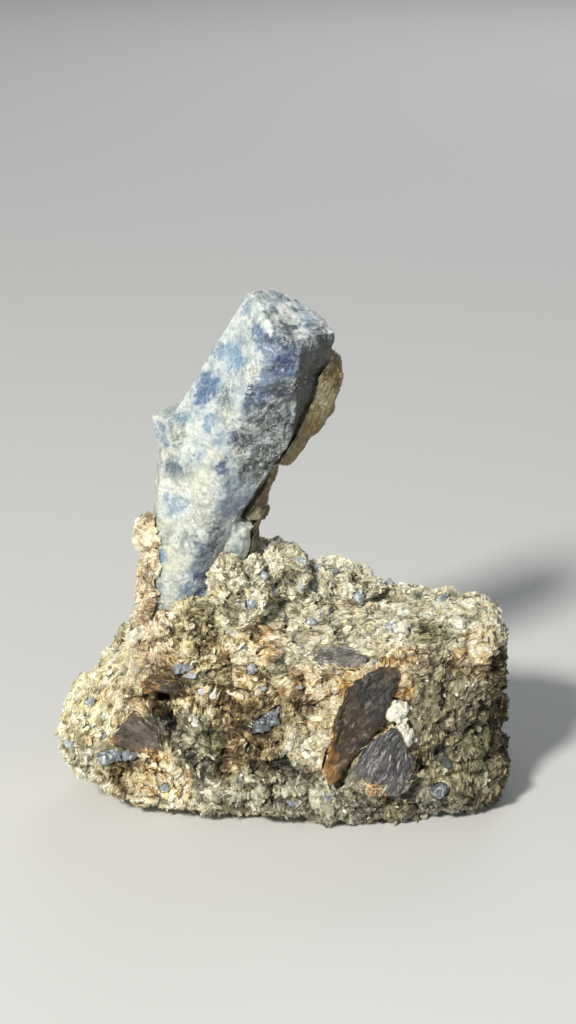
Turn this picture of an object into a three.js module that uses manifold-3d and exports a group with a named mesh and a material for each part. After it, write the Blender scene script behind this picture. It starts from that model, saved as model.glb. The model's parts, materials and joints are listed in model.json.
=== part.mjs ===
// Sapphire in matrix: a pale blue corundum crystal that stands out of a block of
// golden mica schist, with mica crusts along its flanks and small sapphires,
// feldspars and mica books set in the rock.
//
// Millimetres, +Z up, X to the right and Y away from the front. The shapes are laid
// out from a point on the bench under the block, and the finished group is moved so
// that its origin is the centre of the foot of its bounding box.

import * as THREE from "three";
import { mergeVertices } from "three/addons/utils/BufferGeometryUtils.js";
import Module from "manifold-3d";

const wasm = await Module();
wasm.setup();

// ---------------------------------------------------------------- driving sizes

const GAP = 0.3; // clearance between a set piece and its socket
const ROCK_STEPS = 31; // stations along the block
const ROCK_SIDES = 40; // points round each station
const ROCK_SQUARENESS = 7; // superellipse exponent of a station
const BENCH = 0; // height of the resting face

// ------------------------------------------------------------------ colours

const COLOURS = {
  schist: new THREE.MeshStandardMaterial({ color: 0xb39a6b, roughness: 0.75, metalness: 0 }),
  sapphire: new THREE.MeshStandardMaterial({ color: 0x8fa6c4, roughness: 0.45, metalness: 0 }),
  blue: new THREE.MeshStandardMaterial({ color: 0x5f7ba8, roughness: 0.4, metalness: 0 }),
  crust: new THREE.MeshStandardMaterial({ color: 0x9a7440, roughness: 0.55, metalness: 0 }),
  mica: new THREE.MeshStandardMaterial({ color: 0x4b4541, roughness: 0.35, metalness: 0 }),
  bronze: new THREE.MeshStandardMaterial({ color: 0x5e3d20, roughness: 0.35, metalness: 0 }),
  feldspar: new THREE.MeshStandardMaterial({ color: 0xe6e2d2, roughness: 0.6, metalness: 0 }),
};

// ------------------------------------------------------------------ helpers

const vector = (x, y, z) => new THREE.Vector3(x, y, z);

// A repeatable number from 0 to 1 for a lattice point.
function latticeValue(i, j, k) {
  const s = Math.sin(i * 127.1 + j * 311.7 + k * 74.7) * 43758.5453;
  return s - Math.floor(s);
}

// Smooth value noise from -1 to 1.
function noise(x, y, z) {
  const [i, j, k] = [Math.floor(x), Math.floor(y), Math.floor(z)];
  const ease = (t) => t * t * (3 - 2 * t);
  const [u, v, w] = [ease(x - i), ease(y - j), ease(z - k)];
  const mix = THREE.MathUtils.lerp;
  const along = (b, c) => mix(latticeValue(i, b, c), latticeValue(i + 1, b, c), u);
  const low = mix(along(j, k), along(j + 1, k), v);
  const high = mix(along(j, k + 1), along(j + 1, k + 1), v);
  return 2 * mix(low, high, w) - 1;
}

// Moves each vertex of an indexed geometry along its normal by noise of that grain.
function roughen(geometry, grain, depth, seed = 0) {
  geometry.computeVertexNormals();
  const places = geometry.getAttribute("position");
  const normals = geometry.getAttribute("normal");
  for (let n = 0; n < places.count; n++) {
    const p = vector().fromBufferAttribute(places, n);
    const out = vector().fromBufferAttribute(normals, n);
    const lift = depth * noise(p.x / grain + seed, p.y / grain, p.z / grain);
    p.addScaledVector(out, lift);
    places.setXYZ(n, p.x, p.y, p.z);
  }
  return geometry;
}

// Keeps only position and shares vertices, as roughen and the booleans need.
function welded(geometry) {
  geometry.deleteAttribute("normal");
  geometry.deleteAttribute("uv");
  return mergeVertices(geometry, 1e-3);
}

function solidOf(geometry) {
  const clean = welded(geometry.clone());
  return new wasm.Manifold(
    new wasm.Mesh({
      numProp: 3,
      vertProperties: new Float32Array(clean.getAttribute("position").array),
      triVerts: new Uint32Array(clean.index.array),
    }),
  );
}

function geometryOf(solid) {
  const mesh = solid.getMesh();
  const geometry = new THREE.BufferGeometry();
  geometry.setAttribute("position", new THREE.BufferAttribute(mesh.vertProperties, 3));
  geometry.setIndex(new THREE.BufferAttribute(mesh.triVerts, 1));
  return geometry;
}

const joined = (solids) => solids.reduce((whole, next) => whole.add(next));

// A lumpy ellipsoid: half sizes along its own axes, turned by Euler angles in degrees.
function lump({ at, half, turn = [0, 0, 0], detail = 3, rough = 0.12, seed = 1 }, grow = 0) {
  const geometry = welded(new THREE.IcosahedronGeometry(1, detail));
  roughen(geometry, 0.55, rough, seed);
  geometry.scale(half[0] + grow, half[1] + grow, half[2] + grow);
  const angles = turn.map(THREE.MathUtils.degToRad);
  geometry.applyQuaternion(
    new THREE.Quaternion().setFromEuler(new THREE.Euler(...angles)),
  );
  geometry.translate(...at);
  return solidOf(geometry);
}

// One closed solid through rings of the same number of points: a cylinder with its
// vertices moved. A ring's points turn right-handed about the way the rings follow.
function loft(rings) {
  const sides = rings[0].length;
  const steps = rings.length - 1;
  const geometry = welded(new THREE.CylinderGeometry(1, 1, steps, sides, steps));
  const places = geometry.getAttribute("position");
  for (let n = 0; n < places.count; n++) {
    const [x, y, z] = [places.getX(n), places.getY(n), places.getZ(n)];
    const ring = rings[Math.round(y + steps / 2)];
    const spoke = Math.round((Math.atan2(x, z) / (2 * Math.PI)) * sides);
    const onAxis = Math.hypot(x, z) < 0.5;
    const middle = ring.reduce((sum, p) => sum.add(p), vector()).divideScalar(sides);
    const p = onAxis ? middle : ring[(spoke + sides) % sides];
    places.setXYZ(n, p.x, p.y, p.z);
  }
  return geometry;
}

// ------------------------------------------------------------------ sapphire

// The big prism. Its axis runs from the tip down into the rock, and each section has
// the distance down the axis and six corners as [across, away, up the axis]: left,
// front left, front right, right, back right and back left.
const TIP = [0.9, -1.4, 76.2];
const LEAN = 28.6; // to the right of upright
const NOD = 3.6; // towards the front
const SECTIONS = [
  [0, [-6.8, 0.4, 0.7], [-2.1, -5.8, -1.6], [1.7, -6.0, -0.6], [6.5, -0.9, 1.1], [3.3, 5.6, 1.0], [-3, 5.6, 1.0]],
  [1.1, [-7.2, 0.5, 0.6], [-2.2, -6.4, -1.5], [2.2, -6.7, -0.5], [7.1, -1.0, 1.1], [3.7, 6.3, 0.8], [-3.4, 6.3, 0.8]],
  [15.3, [-7.7, 1.0, 0], [-1.0, -6.8, 0], [8.2, -4.8, 0], [8.9, -1.0, 0], [4.4, 6.6, 0], [-3.7, 6.8, 0]],
  [27.6, [-8.2, 1.2, 0], [3.4, -6.6, 0], [7.4, -4.0, 0], [8.6, -1.0, 0], [4.8, 6.8, 0], [-3.8, 7.0, 0]],
  [40, [-8.4, 1.2, 0], [5.6, -5.6, 0], [7.4, -3.4, 0], [8.8, -0.6, 0], [5.0, 6.6, 0], [-3.8, 7.0, 0]],
  [55, [-8.2, 1.2, 0], [6.4, -4.8, 0], [7.0, -3.2, 0], [8.4, -0.6, 0], [5.0, 6.4, 0], [-3.8, 6.6, 0]],
];
const FLAT_PARTS = 2; // points along one side of the six
const LENGTH_STEP = 3.4; // longest step along the axis

// Smaller prisms grown together with it. turn spins the hexagon about its axis.
const TRUNK = { foot: [-15.4, 1.8, 17.0], tip: [-13.2, 1.4, 47.0], radii: [5.8, 5.5], turn: 32 };
const STUB = { foot: [-13.6, 2.2, 48.0], tip: [-16.2, 1.6, 61.2], radii: [4.2, 3.7], turn: 0 };
const FOOT_PRISM = { foot: [-9.4, -0.8, 33.0], tip: [-6.2, -1.4, 44.6], radii: [2.3, 1.9], turn: 10 };

// The growth stopped against the left mica crust in this plane.
const LEFT_LIMIT = { at: [-19.2, 1.0, 46.0], away: [-1, -0.12, 0.07] };

function bigPrism(grow) {
  const place = new THREE.Matrix4()
    .makeTranslation(...TIP)
    .multiply(new THREE.Matrix4().makeRotationX(THREE.MathUtils.degToRad(NOD)))
    .multiply(new THREE.Matrix4().makeRotationY(THREE.MathUtils.degToRad(LEAN)));
  const corner = (section, n) => {
    const [across, away, up] = section[1 + (n % 6)];
    const out = 1 + (1.5 * grow) / Math.hypot(across, away);
    return vector(across * out, away * out, up - section[0]);
  };
  const ringOf = (section) => {
    const points = [];
    for (let n = 0; n < 6; n++)
      for (let part = 0; part < FLAT_PARTS; part++)
        points.push(corner(section, n).lerp(corner(section, n + 1), part / FLAT_PARTS));
    return points;
  };
  const rings = [];
  SECTIONS.slice(1).forEach((section, n) => {
    const before = SECTIONS[n];
    const steps = Math.ceil((section[0] - before[0]) / LENGTH_STEP);
    for (let step = n ? 1 : 0; step <= steps; step++)
      rings.push(
        ringOf(before).map((p, i) => p.lerp(ringOf(section)[i], step / steps)),
      );
  });
  rings[0].forEach((p) => (p.z += grow));
  rings.at(-1).forEach((p) => (p.z -= grow));
  const body = loft(rings.reverse()).applyMatrix4(place);
  roughen(body, 2.7, 0.34, 5);
  return solidOf(body);
}

function prism({ foot, tip, radii, turn }, grow) {
  const [low, high] = [vector(...foot), vector(...tip)];
  const axis = high.clone().sub(low);
  const body = new THREE.CylinderGeometry(
    radii[1] + grow,
    radii[0] + grow,
    axis.length() + 2 * grow,
    6,
    4,
  );
  body.rotateY(THREE.MathUtils.degToRad(turn + 30));
  body.applyQuaternion(
    new THREE.Quaternion().setFromUnitVectors(vector(0, 1, 0), axis.normalize()),
  );
  body.translate(...low.add(high).multiplyScalar(0.5));
  return solidOf(roughen(welded(body), 2.3, 0.3, 5));
}

// A block whose near face is the plane, for cutting away everything beyond it.
function beyond({ at, away }, grow) {
  const size = 160;
  const out = vector(...away).normalize();
  const block = new THREE.BoxGeometry(size, size, size);
  block.translate(0, 0, size / 2 + grow);
  block.applyQuaternion(
    new THREE.Quaternion().setFromUnitVectors(vector(0, 0, 1), out),
  );
  block.translate(...at);
  return solidOf(block);
}

function sapphire(grow) {
  const inLimit = bigPrism(grow)
    .add(prism(TRUNK, grow))
    .subtract(beyond(LEFT_LIMIT, grow));
  return joined([inLimit, prism(STUB, grow), prism(FOOT_PRISM, grow)]);
}

const crystal = sapphire(0);
const crystalSocket = sapphire(GAP);

// ------------------------------------------------------------------ mica crusts

// Thick mica on the crystal's right side, thinning downwards into the rock.
const RIGHT_CRUST = [
  { at: [4.7, 2.2, 66.0], half: [3.9, 5.2, 5.0], turn: [0, 16, 0], seed: 3 },
  { at: [3.1, 2.6, 61.0], half: [3.7, 5.4, 5.6], turn: [0, 30, 0], seed: 4 },
  { at: [0.4, 2.8, 56.4], half: [2.9, 5.2, 4.6], turn: [0, 34, 0], seed: 6 },
  { at: [-3.7, 3.0, 50.6], half: [2.3, 5.0, 5.6], turn: [0, 26, 0], seed: 8, detail: 1 },
  { at: [-5.1, 3.0, 45.6], half: [2.5, 4.8, 5.2], turn: [0, 14, 0], seed: 9, detail: 1 },
  { at: [-6.8, 3.0, 40.6], half: [2.8, 4.6, 5.4], turn: [0, 12, 0], seed: 10, detail: 1 },
];

// A thinner crust down the left flank.
const LEFT_CRUST = [
  { at: [-19.8, 1.4, 41.8], half: [2.8, 4.0, 2.7], turn: [0, 30, 0], seed: 9 },
  { at: [-19.9, 1.8, 37.4], half: [1.8, 4.6, 4.4], turn: [0, 6, 0], seed: 11 },
  { at: [-20.4, 1.4, 32.2], half: [2.0, 5.0, 5.0], turn: [0, 4, 0], seed: 12 },
];

const CHIPPED = { detail: 2, rough: 0.2 };
const rightLumps = (grow) => joined(RIGHT_CRUST.map((l) => lump({ ...CHIPPED, ...l }, grow)));
const leftLumps = (grow) => joined(LEFT_CRUST.map((l) => lump({ ...CHIPPED, ...l }, grow)));

// The largest body of a cut piece, without the slivers that a cut can leave.
function largest(solid) {
  const bodies = solid.decompose();
  return bodies.sort((a, b) => b.volume() - a.volume())[0];
}

const rightCrust = largest(rightLumps(0).subtract(crystalSocket));
const leftCrust = largest(leftLumps(0).subtract(crystalSocket));

// ------------------------------------------------------------------ the rock

// Stations of the block from left to right. Each gives x and the corners of its
// section as [y, z]: front foot, back foot, back top and front top.
const STATIONS = [
  [-34.0, [-4.6, 8.6], [1.2, 8.8], [1.0, 12.0], [-4.2, 12.2]],
  [-32.6, [-7.2, 6.8], [4.4, 6.6], [3.4, 15.0], [-6.4, 14.4]],
  [-29.0, [-10.0, 4.6], [8.4, 2.8], [5.6, 18.4], [-8.2, 16.4]],
  [-25.0, [-11.6, 3.0], [11.2, -0.4], [7.4, 24.4], [-8.6, 20.0]],
  [-21.0, [-12.4, 2.2], [13.0, -1.4], [8.6, 29.4], [-8.8, 23.8]],
  [-15.0, [-13.4, 1.8], [14.2, -1.6], [9.8, 32.6], [-8.8, 26.2]],
  [-8.0, [-14.6, 1.4], [15.0, -1.6], [10.6, 34.8], [-10.0, 25.6]],
  [-2.0, [-15.2, 1.0], [15.4, -1.6], [11.0, 34.6], [-11.2, 24.4]],
  [4.0, [-15.6, 0.6], [15.6, -1.6], [11.8, 33.0], [-12.8, 23.4]],
  [10.0, [-15.6, 0.0], [15.6, -1.6], [12.6, 31.8], [-13.2, 23.8]],
  [17.0, [-15.0, -0.4], [15.2, -1.6], [12.8, 31.4], [-12.6, 25.4]],
  [24.0, [-13.2, -0.4], [14.2, -1.2], [11.8, 30.9], [-11.0, 26.6]],
  [30.0, [-10.4, -0.2], [12.4, -0.4], [9.8, 30.0], [-9.0, 26.6]],
  [33.0, [-6.0, 1.0], [10.0, 1.6], [7.8, 28.0], [-5.4, 25.2]],
  [34.2, [-1.4, 4.6], [7.0, 5.2], [5.6, 22.4], [-1.4, 20.4]],
];

// Catmull-Rom through one number of every station.
function between(stations, along, pick) {
  const last = stations.length - 1;
  const here = Math.min(Math.floor(along), last - 1);
  const t = along - here;
  const value = (n) => pick(stations[THREE.MathUtils.clamp(n, 0, last)]);
  const [a, b, c, d] = [value(here - 1), value(here), value(here + 1), value(here + 2)];
  return (
    b + 0.5 * t * (c - a + t * (2 * a - 5 * b + 4 * c - d + t * (3 * (b - c) + d - a)))
  );
}

// A point that far round a square from -1 to 1, its corners rounded. It starts at the
// foot of the back, goes up, over the top to the front, down, and back underneath.
function roundedSquare(share) {
  const side = Math.floor(4 * share);
  const along = 2 * (4 * share - side) - 1;
  const [back, up] = [[1, along], [-along, 1], [-1, -along], [along, -1]][side];
  const k = ROCK_SQUARENESS;
  const reach = (Math.abs(back) ** k + Math.abs(up) ** k) ** (1 / k);
  return [0.5 + (0.5 * back) / reach, 0.5 + (0.5 * up) / reach];
}

function ring(along) {
  const x = between(STATIONS, along, (s) => s[0]);
  const corner = (n, axis) => between(STATIONS, along, (s) => s[n][axis]);
  const points = [];
  for (let n = 0; n < ROCK_SIDES; n++) {
    const [back, up] = roundedSquare((n + 0.5) / ROCK_SIDES);
    const at = (axis) =>
      (1 - up) * ((1 - back) * corner(1, axis) + back * corner(2, axis)) +
      up * ((1 - back) * corner(4, axis) + back * corner(3, axis));
    points.push(vector(x, at(0), at(1)));
  }
  return points;
}

function loftedBlock() {
  const rings = [];
  for (let step = 0; step <= ROCK_STEPS; step++)
    rings.push(ring((step / ROCK_STEPS) * (STATIONS.length - 1)));
  const geometry = loft(rings);
  roughen(geometry, 7.5, 1.0, 2);
  roughen(geometry, 3.1, 0.9, 7);
  return solidOf(geometry);
}

// What the block has besides its main body.
const KNOBS = [
  { at: [-12.6, -5.0, 26.4], half: [4.4, 5.0, 4.4], turn: [0, 20, 0], seed: 21 },
  { at: [-7.2, -1.0, 33.0], half: [4.8, 5.2, 6.6], turn: [0, 24, 0], seed: 22 },
  { at: [-2.2, 4.6, 34.4], half: [6.6, 6.4, 5.0], turn: [0, 24, 0], seed: 23 },
  { at: [7.0, 8.0, 31.4], half: [7.8, 6.0, 3.0], turn: [0, 10, 10], seed: 24 },
  { at: [-20.2, 1.6, 25.6], half: [3.3, 6.0, 4.6], turn: [0, -20, 0], seed: 25 },
  { at: [-13.9, -4.0, 31.0], half: [3.4, 2.8, 2.4], turn: [0, 10, 0], seed: 28 },
  { at: [-17.4, -4.0, 29.2], half: [2.8, 2.6, 2.2], turn: [0, -20, 0], seed: 29 },
  { at: [-8.1, -3.2, 36.4], half: [3.5, 2.8, 3.6], turn: [0, 30, 0], seed: 30 },
  { at: [-13.0, 9.6, 30.6], half: [8.0, 5.0, 7.0], turn: [0, 10, 0], seed: 26 },
  { at: [-29.6, -3.4, 12.4], half: [4.4, 6.4, 5.4], turn: [0, 0, 0], seed: 27 },
];

// Hollows and crevices in its faces.
const HOLLOWS = [
  { at: [-17.2, -11.2, 20.0], half: [5.4, 2.8, 1.9], turn: [0, 6, -12], seed: 31 },
  { at: [-15.4, -13.0, 13.2], half: [1.5, 2.8, 9.0], turn: [0, -34, 0], seed: 32 },
  { at: [-25.2, -12.2, 7.2], half: [4.4, 2.6, 1.7], turn: [0, 12, 0], seed: 33 },
  { at: [-11.4, -10.6, 25.0], half: [2.2, 2.0, 2.4], turn: [0, 30, 0], seed: 34 },
  { at: [30.4, -10.0, 0.6], half: [1.6, 2.2, 1.8], turn: [0, 0, 0], seed: 35 },
  { at: [11.6, -15.6, 17.0], half: [4.2, 3.0, 10.4], turn: [0, 28, 0], seed: 36 },
];

const block = joined([loftedBlock(), ...KNOBS.map((k) => lump({ detail: 2, rough: 0.3, ...k }))]);
const hollowed = HOLLOWS.reduce((rock, h) => rock.subtract(lump({ detail: 2, rough: 0.2, ...h })), block);
const levelled = hollowed.subtract(beyond({ at: [0, 0, BENCH], away: [0, 0, -1] }, 0));

// ------------------------------------------------------------------ set pieces

const caster = new THREE.Raycaster();
const bareRock = new THREE.Mesh(
  geometryOf(levelled.subtract(crystalSocket).subtract(rightLumps(GAP)).subtract(leftLumps(GAP))),
  new THREE.MeshStandardMaterial({ side: THREE.DoubleSide }),
);
bareRock.updateMatrixWorld(true);

// Where a straight line into one side of the rock meets it. The two numbers are x and
// z on the front and back, x and y on top, and y and z on the left and right.
const SIDES = {
  front: [(a, b) => [a, -100, b], [0, 1, 0]],
  back: [(a, b) => [a, 100, b], [0, -1, 0]],
  top: [(a, b) => [a, b, 100], [0, 0, -1]],
  left: [(a, b) => [-100, a, b], [1, 0, 0]],
  right: [(a, b) => [100, a, b], [-1, 0, 0]],
};

function surface(side, [a, b]) {
  const [start, direction] = SIDES[side];
  caster.set(vector(...start(a, b)), vector(...direction));
  const hit = caster.intersectObject(bareRock)[0];
  if (!hit) throw new Error(`nothing to seat on at ${side} ${a}, ${b}`);
  return hit.point;
}

const PROUD = 1.5; // the most that a set book stands out of the rock

// The way the rock faces there, over a patch of that reach.
function lie(side, [a, b], reach = 2.2) {
  const [p, q, r] = [[reach, 0], [-reach, reach], [-reach, -reach]].map(([da, db]) =>
    surface(side, [a + da, b + db]),
  );
  const out = q.sub(p).cross(r.sub(p)).normalize();
  return out.dot(vector(...SIDES[side][1])) > 0 ? out.negate() : out;
}

// Mica books: outline in the plane of the sheet, [across, up] from its middle, and how
// far the face stands proud of the rock at that middle. A book lies as the rock does
// there, unless it has a facing of its own.
const BOOKS = {
  mica_book_bronze: {
    side: "front", at: [11.6, 17.2], facing: [0.2, -0.9, 0.3], turn: -28, thick: 2.0, proud: 0.6,
    outline: [[-1.8, -9.4], [1.0, -8.8], [2.7, -2.0], [3.2, 5.2], [2.8, 10.4], [-1.0, 10.2], [-2.8, 2.4]],
    colour: "bronze",
  },
  mica_book_dark: {
    side: "front", at: [13.9, 10.8], turn: 6, thick: 2.6, proud: 0.9,
    outline: [[-3.8, -2.6], [-0.6, -3.8], [3.4, -2.4], [4.2, 1.4], [1.4, 5.8], [-1.2, 5.6], [-3.4, 1.2]],
    colour: "mica",
  },
  mica_book_left: {
    side: "front", at: [-22.2, 14.0], turn: -10, thick: 2.0, proud: 0.5,
    outline: [[-4.2, -1.4], [-0.6, -2.8], [3.6, -1.8], [3.0, 0.8], [-0.4, 3.0], [-2.2, 1.4]],
    colour: "mica",
  },
  mica_book_ledge: {
    side: "front", at: [-17.4, 20.2], turn: 4, thick: 1.6, proud: 0.3,
    outline: [[-3.8, -1.0], [3.4, -1.4], [3.9, 0.8], [-0.4, 1.6], [-3.4, 1.2]],
    colour: "bronze",
  },
  mica_book_top: {
    side: "top", at: [7.7, -8.1], turn: -12, thick: 1.8, proud: 0.4,
    outline: [[-4.8, -0.6], [-2.2, -1.9], [3.2, -1.6], [4.8, 0.2], [1.0, 1.9], [-3.0, 1.6]],
    colour: "mica",
  },
  mica_book_back: {
    side: "back", at: [9.0, 15.0], turn: 30, thick: 2.4, proud: 0.5,
    outline: [[-4.6, -3.0], [1.0, -4.2], [4.8, -0.6], [3.0, 3.6], [-2.6, 3.4]],
    colour: "mica",
  },
  sapphire_sliver: {
    side: "front", at: [-2.9, 17.0], turn: 24, thick: 1.3, proud: 0.6,
    outline: [[-2.9, -0.5], [-1.0, -1.3], [1.4, -0.9], [3.0, 1.1], [0.4, 1.0], [-1.4, 0.6]],
    colour: "blue",
  },
};

function book({ side, at, facing, turn, thick, proud, outline }, grow) {
  const span = (axis) =>
    Math.max(...outline.map((p) => p[axis])) - Math.min(...outline.map((p) => p[axis]));
  const out = facing ? vector(...facing).normalize() : lie(side, at);
  const shape = new THREE.Shape(outline.map((p) => new THREE.Vector2(...p)));
  const sheet = new THREE.ExtrudeGeometry(shape, { depth: thick, bevelEnabled: false });
  sheet.translate(0, 0, -thick / 2);
  sheet.scale(
    1 + (2.6 * grow) / span(0),
    1 + (2.6 * grow) / span(1),
    1 + (2 * grow) / thick,
  );
  sheet.rotateZ(THREE.MathUtils.degToRad(turn));
  sheet.applyQuaternion(new THREE.Quaternion().setFromUnitVectors(vector(0, 0, 1), out));
  const middle = surface(side, at).addScaledVector(out, proud - thick / 2);
  sheet.translate(...middle);
  const into = SIDES[side][1];
  const contour = levelled.translate(into.map((n) => -n * (PROUD + grow)));
  return largest(solidOf(sheet).intersect(contour));
}

// Small loose sapphire prisms lying in the front face: slope is their dip from level.
const SPLINTERS = {
  sapphire_prism_ledge: { at: [-15.2, 24.4], length: 2.9, slope: 38, radius: 0.85, turn: 10 },
  sapphire_prism_left: { at: [-26.3, 9.8], length: 3.6, slope: 32, radius: 1.1, turn: 0 },
  sapphire_prism_small: { at: [-23.4, 10.3], length: 1.9, slope: 20, radius: 0.9, turn: 15 },
};

function splinter({ at, length, slope, radius, turn }, grow) {
  const body = new THREE.CylinderGeometry(
    radius * 0.9 + grow,
    radius + grow,
    length + 2 * grow,
    6,
    2,
  );
  body.rotateY(THREE.MathUtils.degToRad(turn));
  body.rotateZ(THREE.MathUtils.degToRad(slope - 90));
  body.translate(...surface("front", at).add(vector(0, 0.1 * radius, 0)));
  return solidOf(body);
}

// Rounded grains, each [side, two numbers on that side, radius].
const GRAINS = {
  sapphire_grain: [
    ["front", -4.8, 24.2, 1.0],
    ["front", -5.1, 32.8, 0.95],
    ["top", -3.2, -2.7, 0.9],
    ["top", 5.0, 6.0, 0.95],
    ["top", 11.2, 2.9, 1.1],
    ["top", 2.2, 2.2, 0.9],
    ["top", 3.9, -0.5, 0.9],
    ["top", 15.7, -2.7, 0.85],
    ["top", 16.2, 10.6, 1.0],
    ["top", 23.9, 5.3, 1.0],
    ["top", 29.0, 5.2, 1.05],
    ["front", 23.2, 5.6, 1.45],
    ["front", -18.1, 5.8, 0.9],
    ["front", -32.4, 11.4, 0.95],
    ["front", -29.6, 17.0, 0.85],
    ["back", -18.0, 18.0, 1.2],
    ["back", 1.4, 11.0, 1.3],
    ["back", 22.0, 18.0, 1.1],
    ["right", 3.4, 12.0, 1.0],
  ],
  feldspar_grain: [
    ["top", 17.5, -3.6, 1.3],
    ["front", -22.6, 26.8, 1.2],
    ["top", 26.2, -1.6, 1.2],
    ["back", -9.0, 22.0, 1.4],
  ],
};

function grain([side, a, b, radius], grow, seed) {
  const into = vector(...SIDES[side][1]);
  const middle = surface(side, [a, b]).addScaledVector(into, 0.2 * radius);
  const half = [radius, radius * 0.85, radius * 0.92];
  const turn = [seed * 37, seed * 53, 0];
  const detail = radius > 1.1 ? 1 : 0;
  return lump({ at: middle.toArray(), half, turn, detail, rough: 0.1, seed }, grow);
}

// A feldspar of two lobes, beside the dark mica book: x, z, half sizes and lean.
const FELDSPAR_LOBES = [
  { seat: [16.2, 19.2], half: [1.9, 1.5, 1.8], turn: [0, 0, 0], detail: 2, seed: 41 },
  { seat: [17.6, 15.8], half: [1.2, 1.3, 2.3], turn: [0, -16, 0], detail: 2, seed: 42 },
];

const feldsparLobes = (grow) =>
  joined(
    FELDSPAR_LOBES.map(({ seat, ...shape }) =>
      lump({ at: surface("front", seat).toArray(), ...shape }, grow),
    ),
  );

// ------------------------------------------------------------------ assembly

// Every set piece by name, as a function of its clearance.
const pieces = new Map();
for (const [name, facts] of Object.entries(BOOKS))
  pieces.set(name, { make: (grow) => book(facts, grow), colour: facts.colour });
for (const [name, facts] of Object.entries(SPLINTERS))
  pieces.set(name, { make: (grow) => splinter(facts, grow), colour: "blue" });
pieces.set("feldspar_lobes", { make: feldsparLobes, colour: "feldspar" });
for (const [kind, places] of Object.entries(GRAINS))
  places.forEach((facts, n) =>
    pieces.set(`${kind}_${n + 1}`, {
      make: (grow) => grain(facts, grow, n + 1),
      colour: kind === "sapphire_grain" ? "blue" : "feldspar",
    }),
  );

// Each piece makes room for the ones before it, and the rock for all of them.
let taken = joined([crystalSocket, rightLumps(GAP), leftLumps(GAP)]);
for (const piece of pieces.values()) {
  piece.solid = largest(piece.make(0).subtract(taken));
  taken = taken.add(piece.make(GAP));
}
const rock = levelled.subtract(taken);

const group = new THREE.Group();

function addMesh(name, solid, colour) {
  const mesh = new THREE.Mesh(geometryOf(solid), COLOURS[colour]);
  mesh.name = name;
  group.add(mesh);
}

addMesh("matrix_rock", largest(rock), "schist");
addMesh("sapphire_crystal", crystal, "sapphire");
addMesh("mica_crust_right", rightCrust, "crust");
addMesh("mica_crust_left", leftCrust, "crust");
for (const [name, { solid, colour }] of pieces) addMesh(name, solid, colour);

// The origin is the centre of the foot of the bounding box.
const box = new THREE.Box3().setFromObject(group);
group.position.set(-(box.min.x + box.max.x) / 2, -(box.min.y + box.max.y) / 2, -box.min.z);

export default group;
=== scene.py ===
"""Sapphire in matrix: a pale blue corundum crystal standing out of a block of golden
mica schist, with mica crusts on its flanks and small sapphires, feldspars and mica
books set in the rock.

Shapes are worked in millimetres in the frame of the part and written in metres.
"""

import json
import math
from types import SimpleNamespace

import bmesh
import bpy
import numpy as np
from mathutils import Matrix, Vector
from mathutils.bvhtree import BVHTree
from mathutils.kdtree import KDTree

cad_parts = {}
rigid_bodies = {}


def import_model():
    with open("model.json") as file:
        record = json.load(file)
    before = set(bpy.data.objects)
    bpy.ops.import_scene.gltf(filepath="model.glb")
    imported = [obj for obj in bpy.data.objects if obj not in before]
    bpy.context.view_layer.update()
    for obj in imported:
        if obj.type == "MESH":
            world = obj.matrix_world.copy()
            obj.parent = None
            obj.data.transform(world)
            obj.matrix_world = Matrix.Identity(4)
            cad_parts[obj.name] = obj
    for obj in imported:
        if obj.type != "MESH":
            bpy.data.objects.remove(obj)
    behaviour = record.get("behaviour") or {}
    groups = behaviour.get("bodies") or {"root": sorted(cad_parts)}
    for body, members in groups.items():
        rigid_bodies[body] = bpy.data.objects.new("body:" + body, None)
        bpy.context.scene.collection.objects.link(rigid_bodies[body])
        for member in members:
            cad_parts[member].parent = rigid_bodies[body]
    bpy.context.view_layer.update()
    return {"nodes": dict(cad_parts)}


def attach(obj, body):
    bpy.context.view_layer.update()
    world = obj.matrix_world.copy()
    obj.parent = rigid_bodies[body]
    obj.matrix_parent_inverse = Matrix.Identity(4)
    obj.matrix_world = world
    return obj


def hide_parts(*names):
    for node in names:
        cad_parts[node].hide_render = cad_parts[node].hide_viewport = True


MM = 0.001
SAME_PLACE = 1e-6   # metres
BENCH_GAP = 0.02    # millimetres kept free under the lowest vertex

# The size of a face in the skin of each kind of piece, in millimetres.
ROCK_FACE, CRUST_FACE, CRYSTAL_FACE, BOOK_FACE, GRAIN_FACE = 0.2, 0.2, 0.212, 0.16, 0.14

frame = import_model()


# ---------------- camera

def linked(name, data):
    """A new object in the scene."""
    made = bpy.data.objects.new(name, data)
    bpy.context.scene.collection.objects.link(made)
    return made


# The specimen is seen from the front and 20 degrees above.
AIM = Vector((0.27, 1.07, 45.5)) * MM
DISTANCE = 350 * MM
DOWN = math.radians(20)

camera_data = bpy.data.cameras.new("camera")
camera_data.lens = 82.44
camera_data.sensor_width = 36
camera_data.clip_start = 0.01
camera_data.clip_end = 20
camera = linked("camera", camera_data)
camera.location = AIM - DISTANCE * Vector((0, math.cos(DOWN), -math.sin(DOWN)))
camera.rotation_euler = (math.pi / 2 - DOWN, 0, 0)
bpy.context.scene.camera = camera


# ---------------- colours

def linear(text):
    """A colour like e5dcc0 as three linear numbers."""
    parts = [int(text[n:n + 2], 16) / 255 for n in (0, 2, 4)]
    return np.array([
        p / 12.92 if p <= 0.04045 else ((p + 0.055) / 1.055) ** 2.4 for p in parts
    ])


def linears(texts):
    """Such colours as an array, a row for each."""
    return np.array([linear(text) for text in texts])


def blended(a, b, share):
    """Colours a turned into b by a share, one for all or one for each point. Either may
    be a text like e5dcc0."""
    a, b = (linear(c) if isinstance(c, str) else c for c in (a, b))
    return a + (b - a) * np.reshape(share, (-1, 1))


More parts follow.
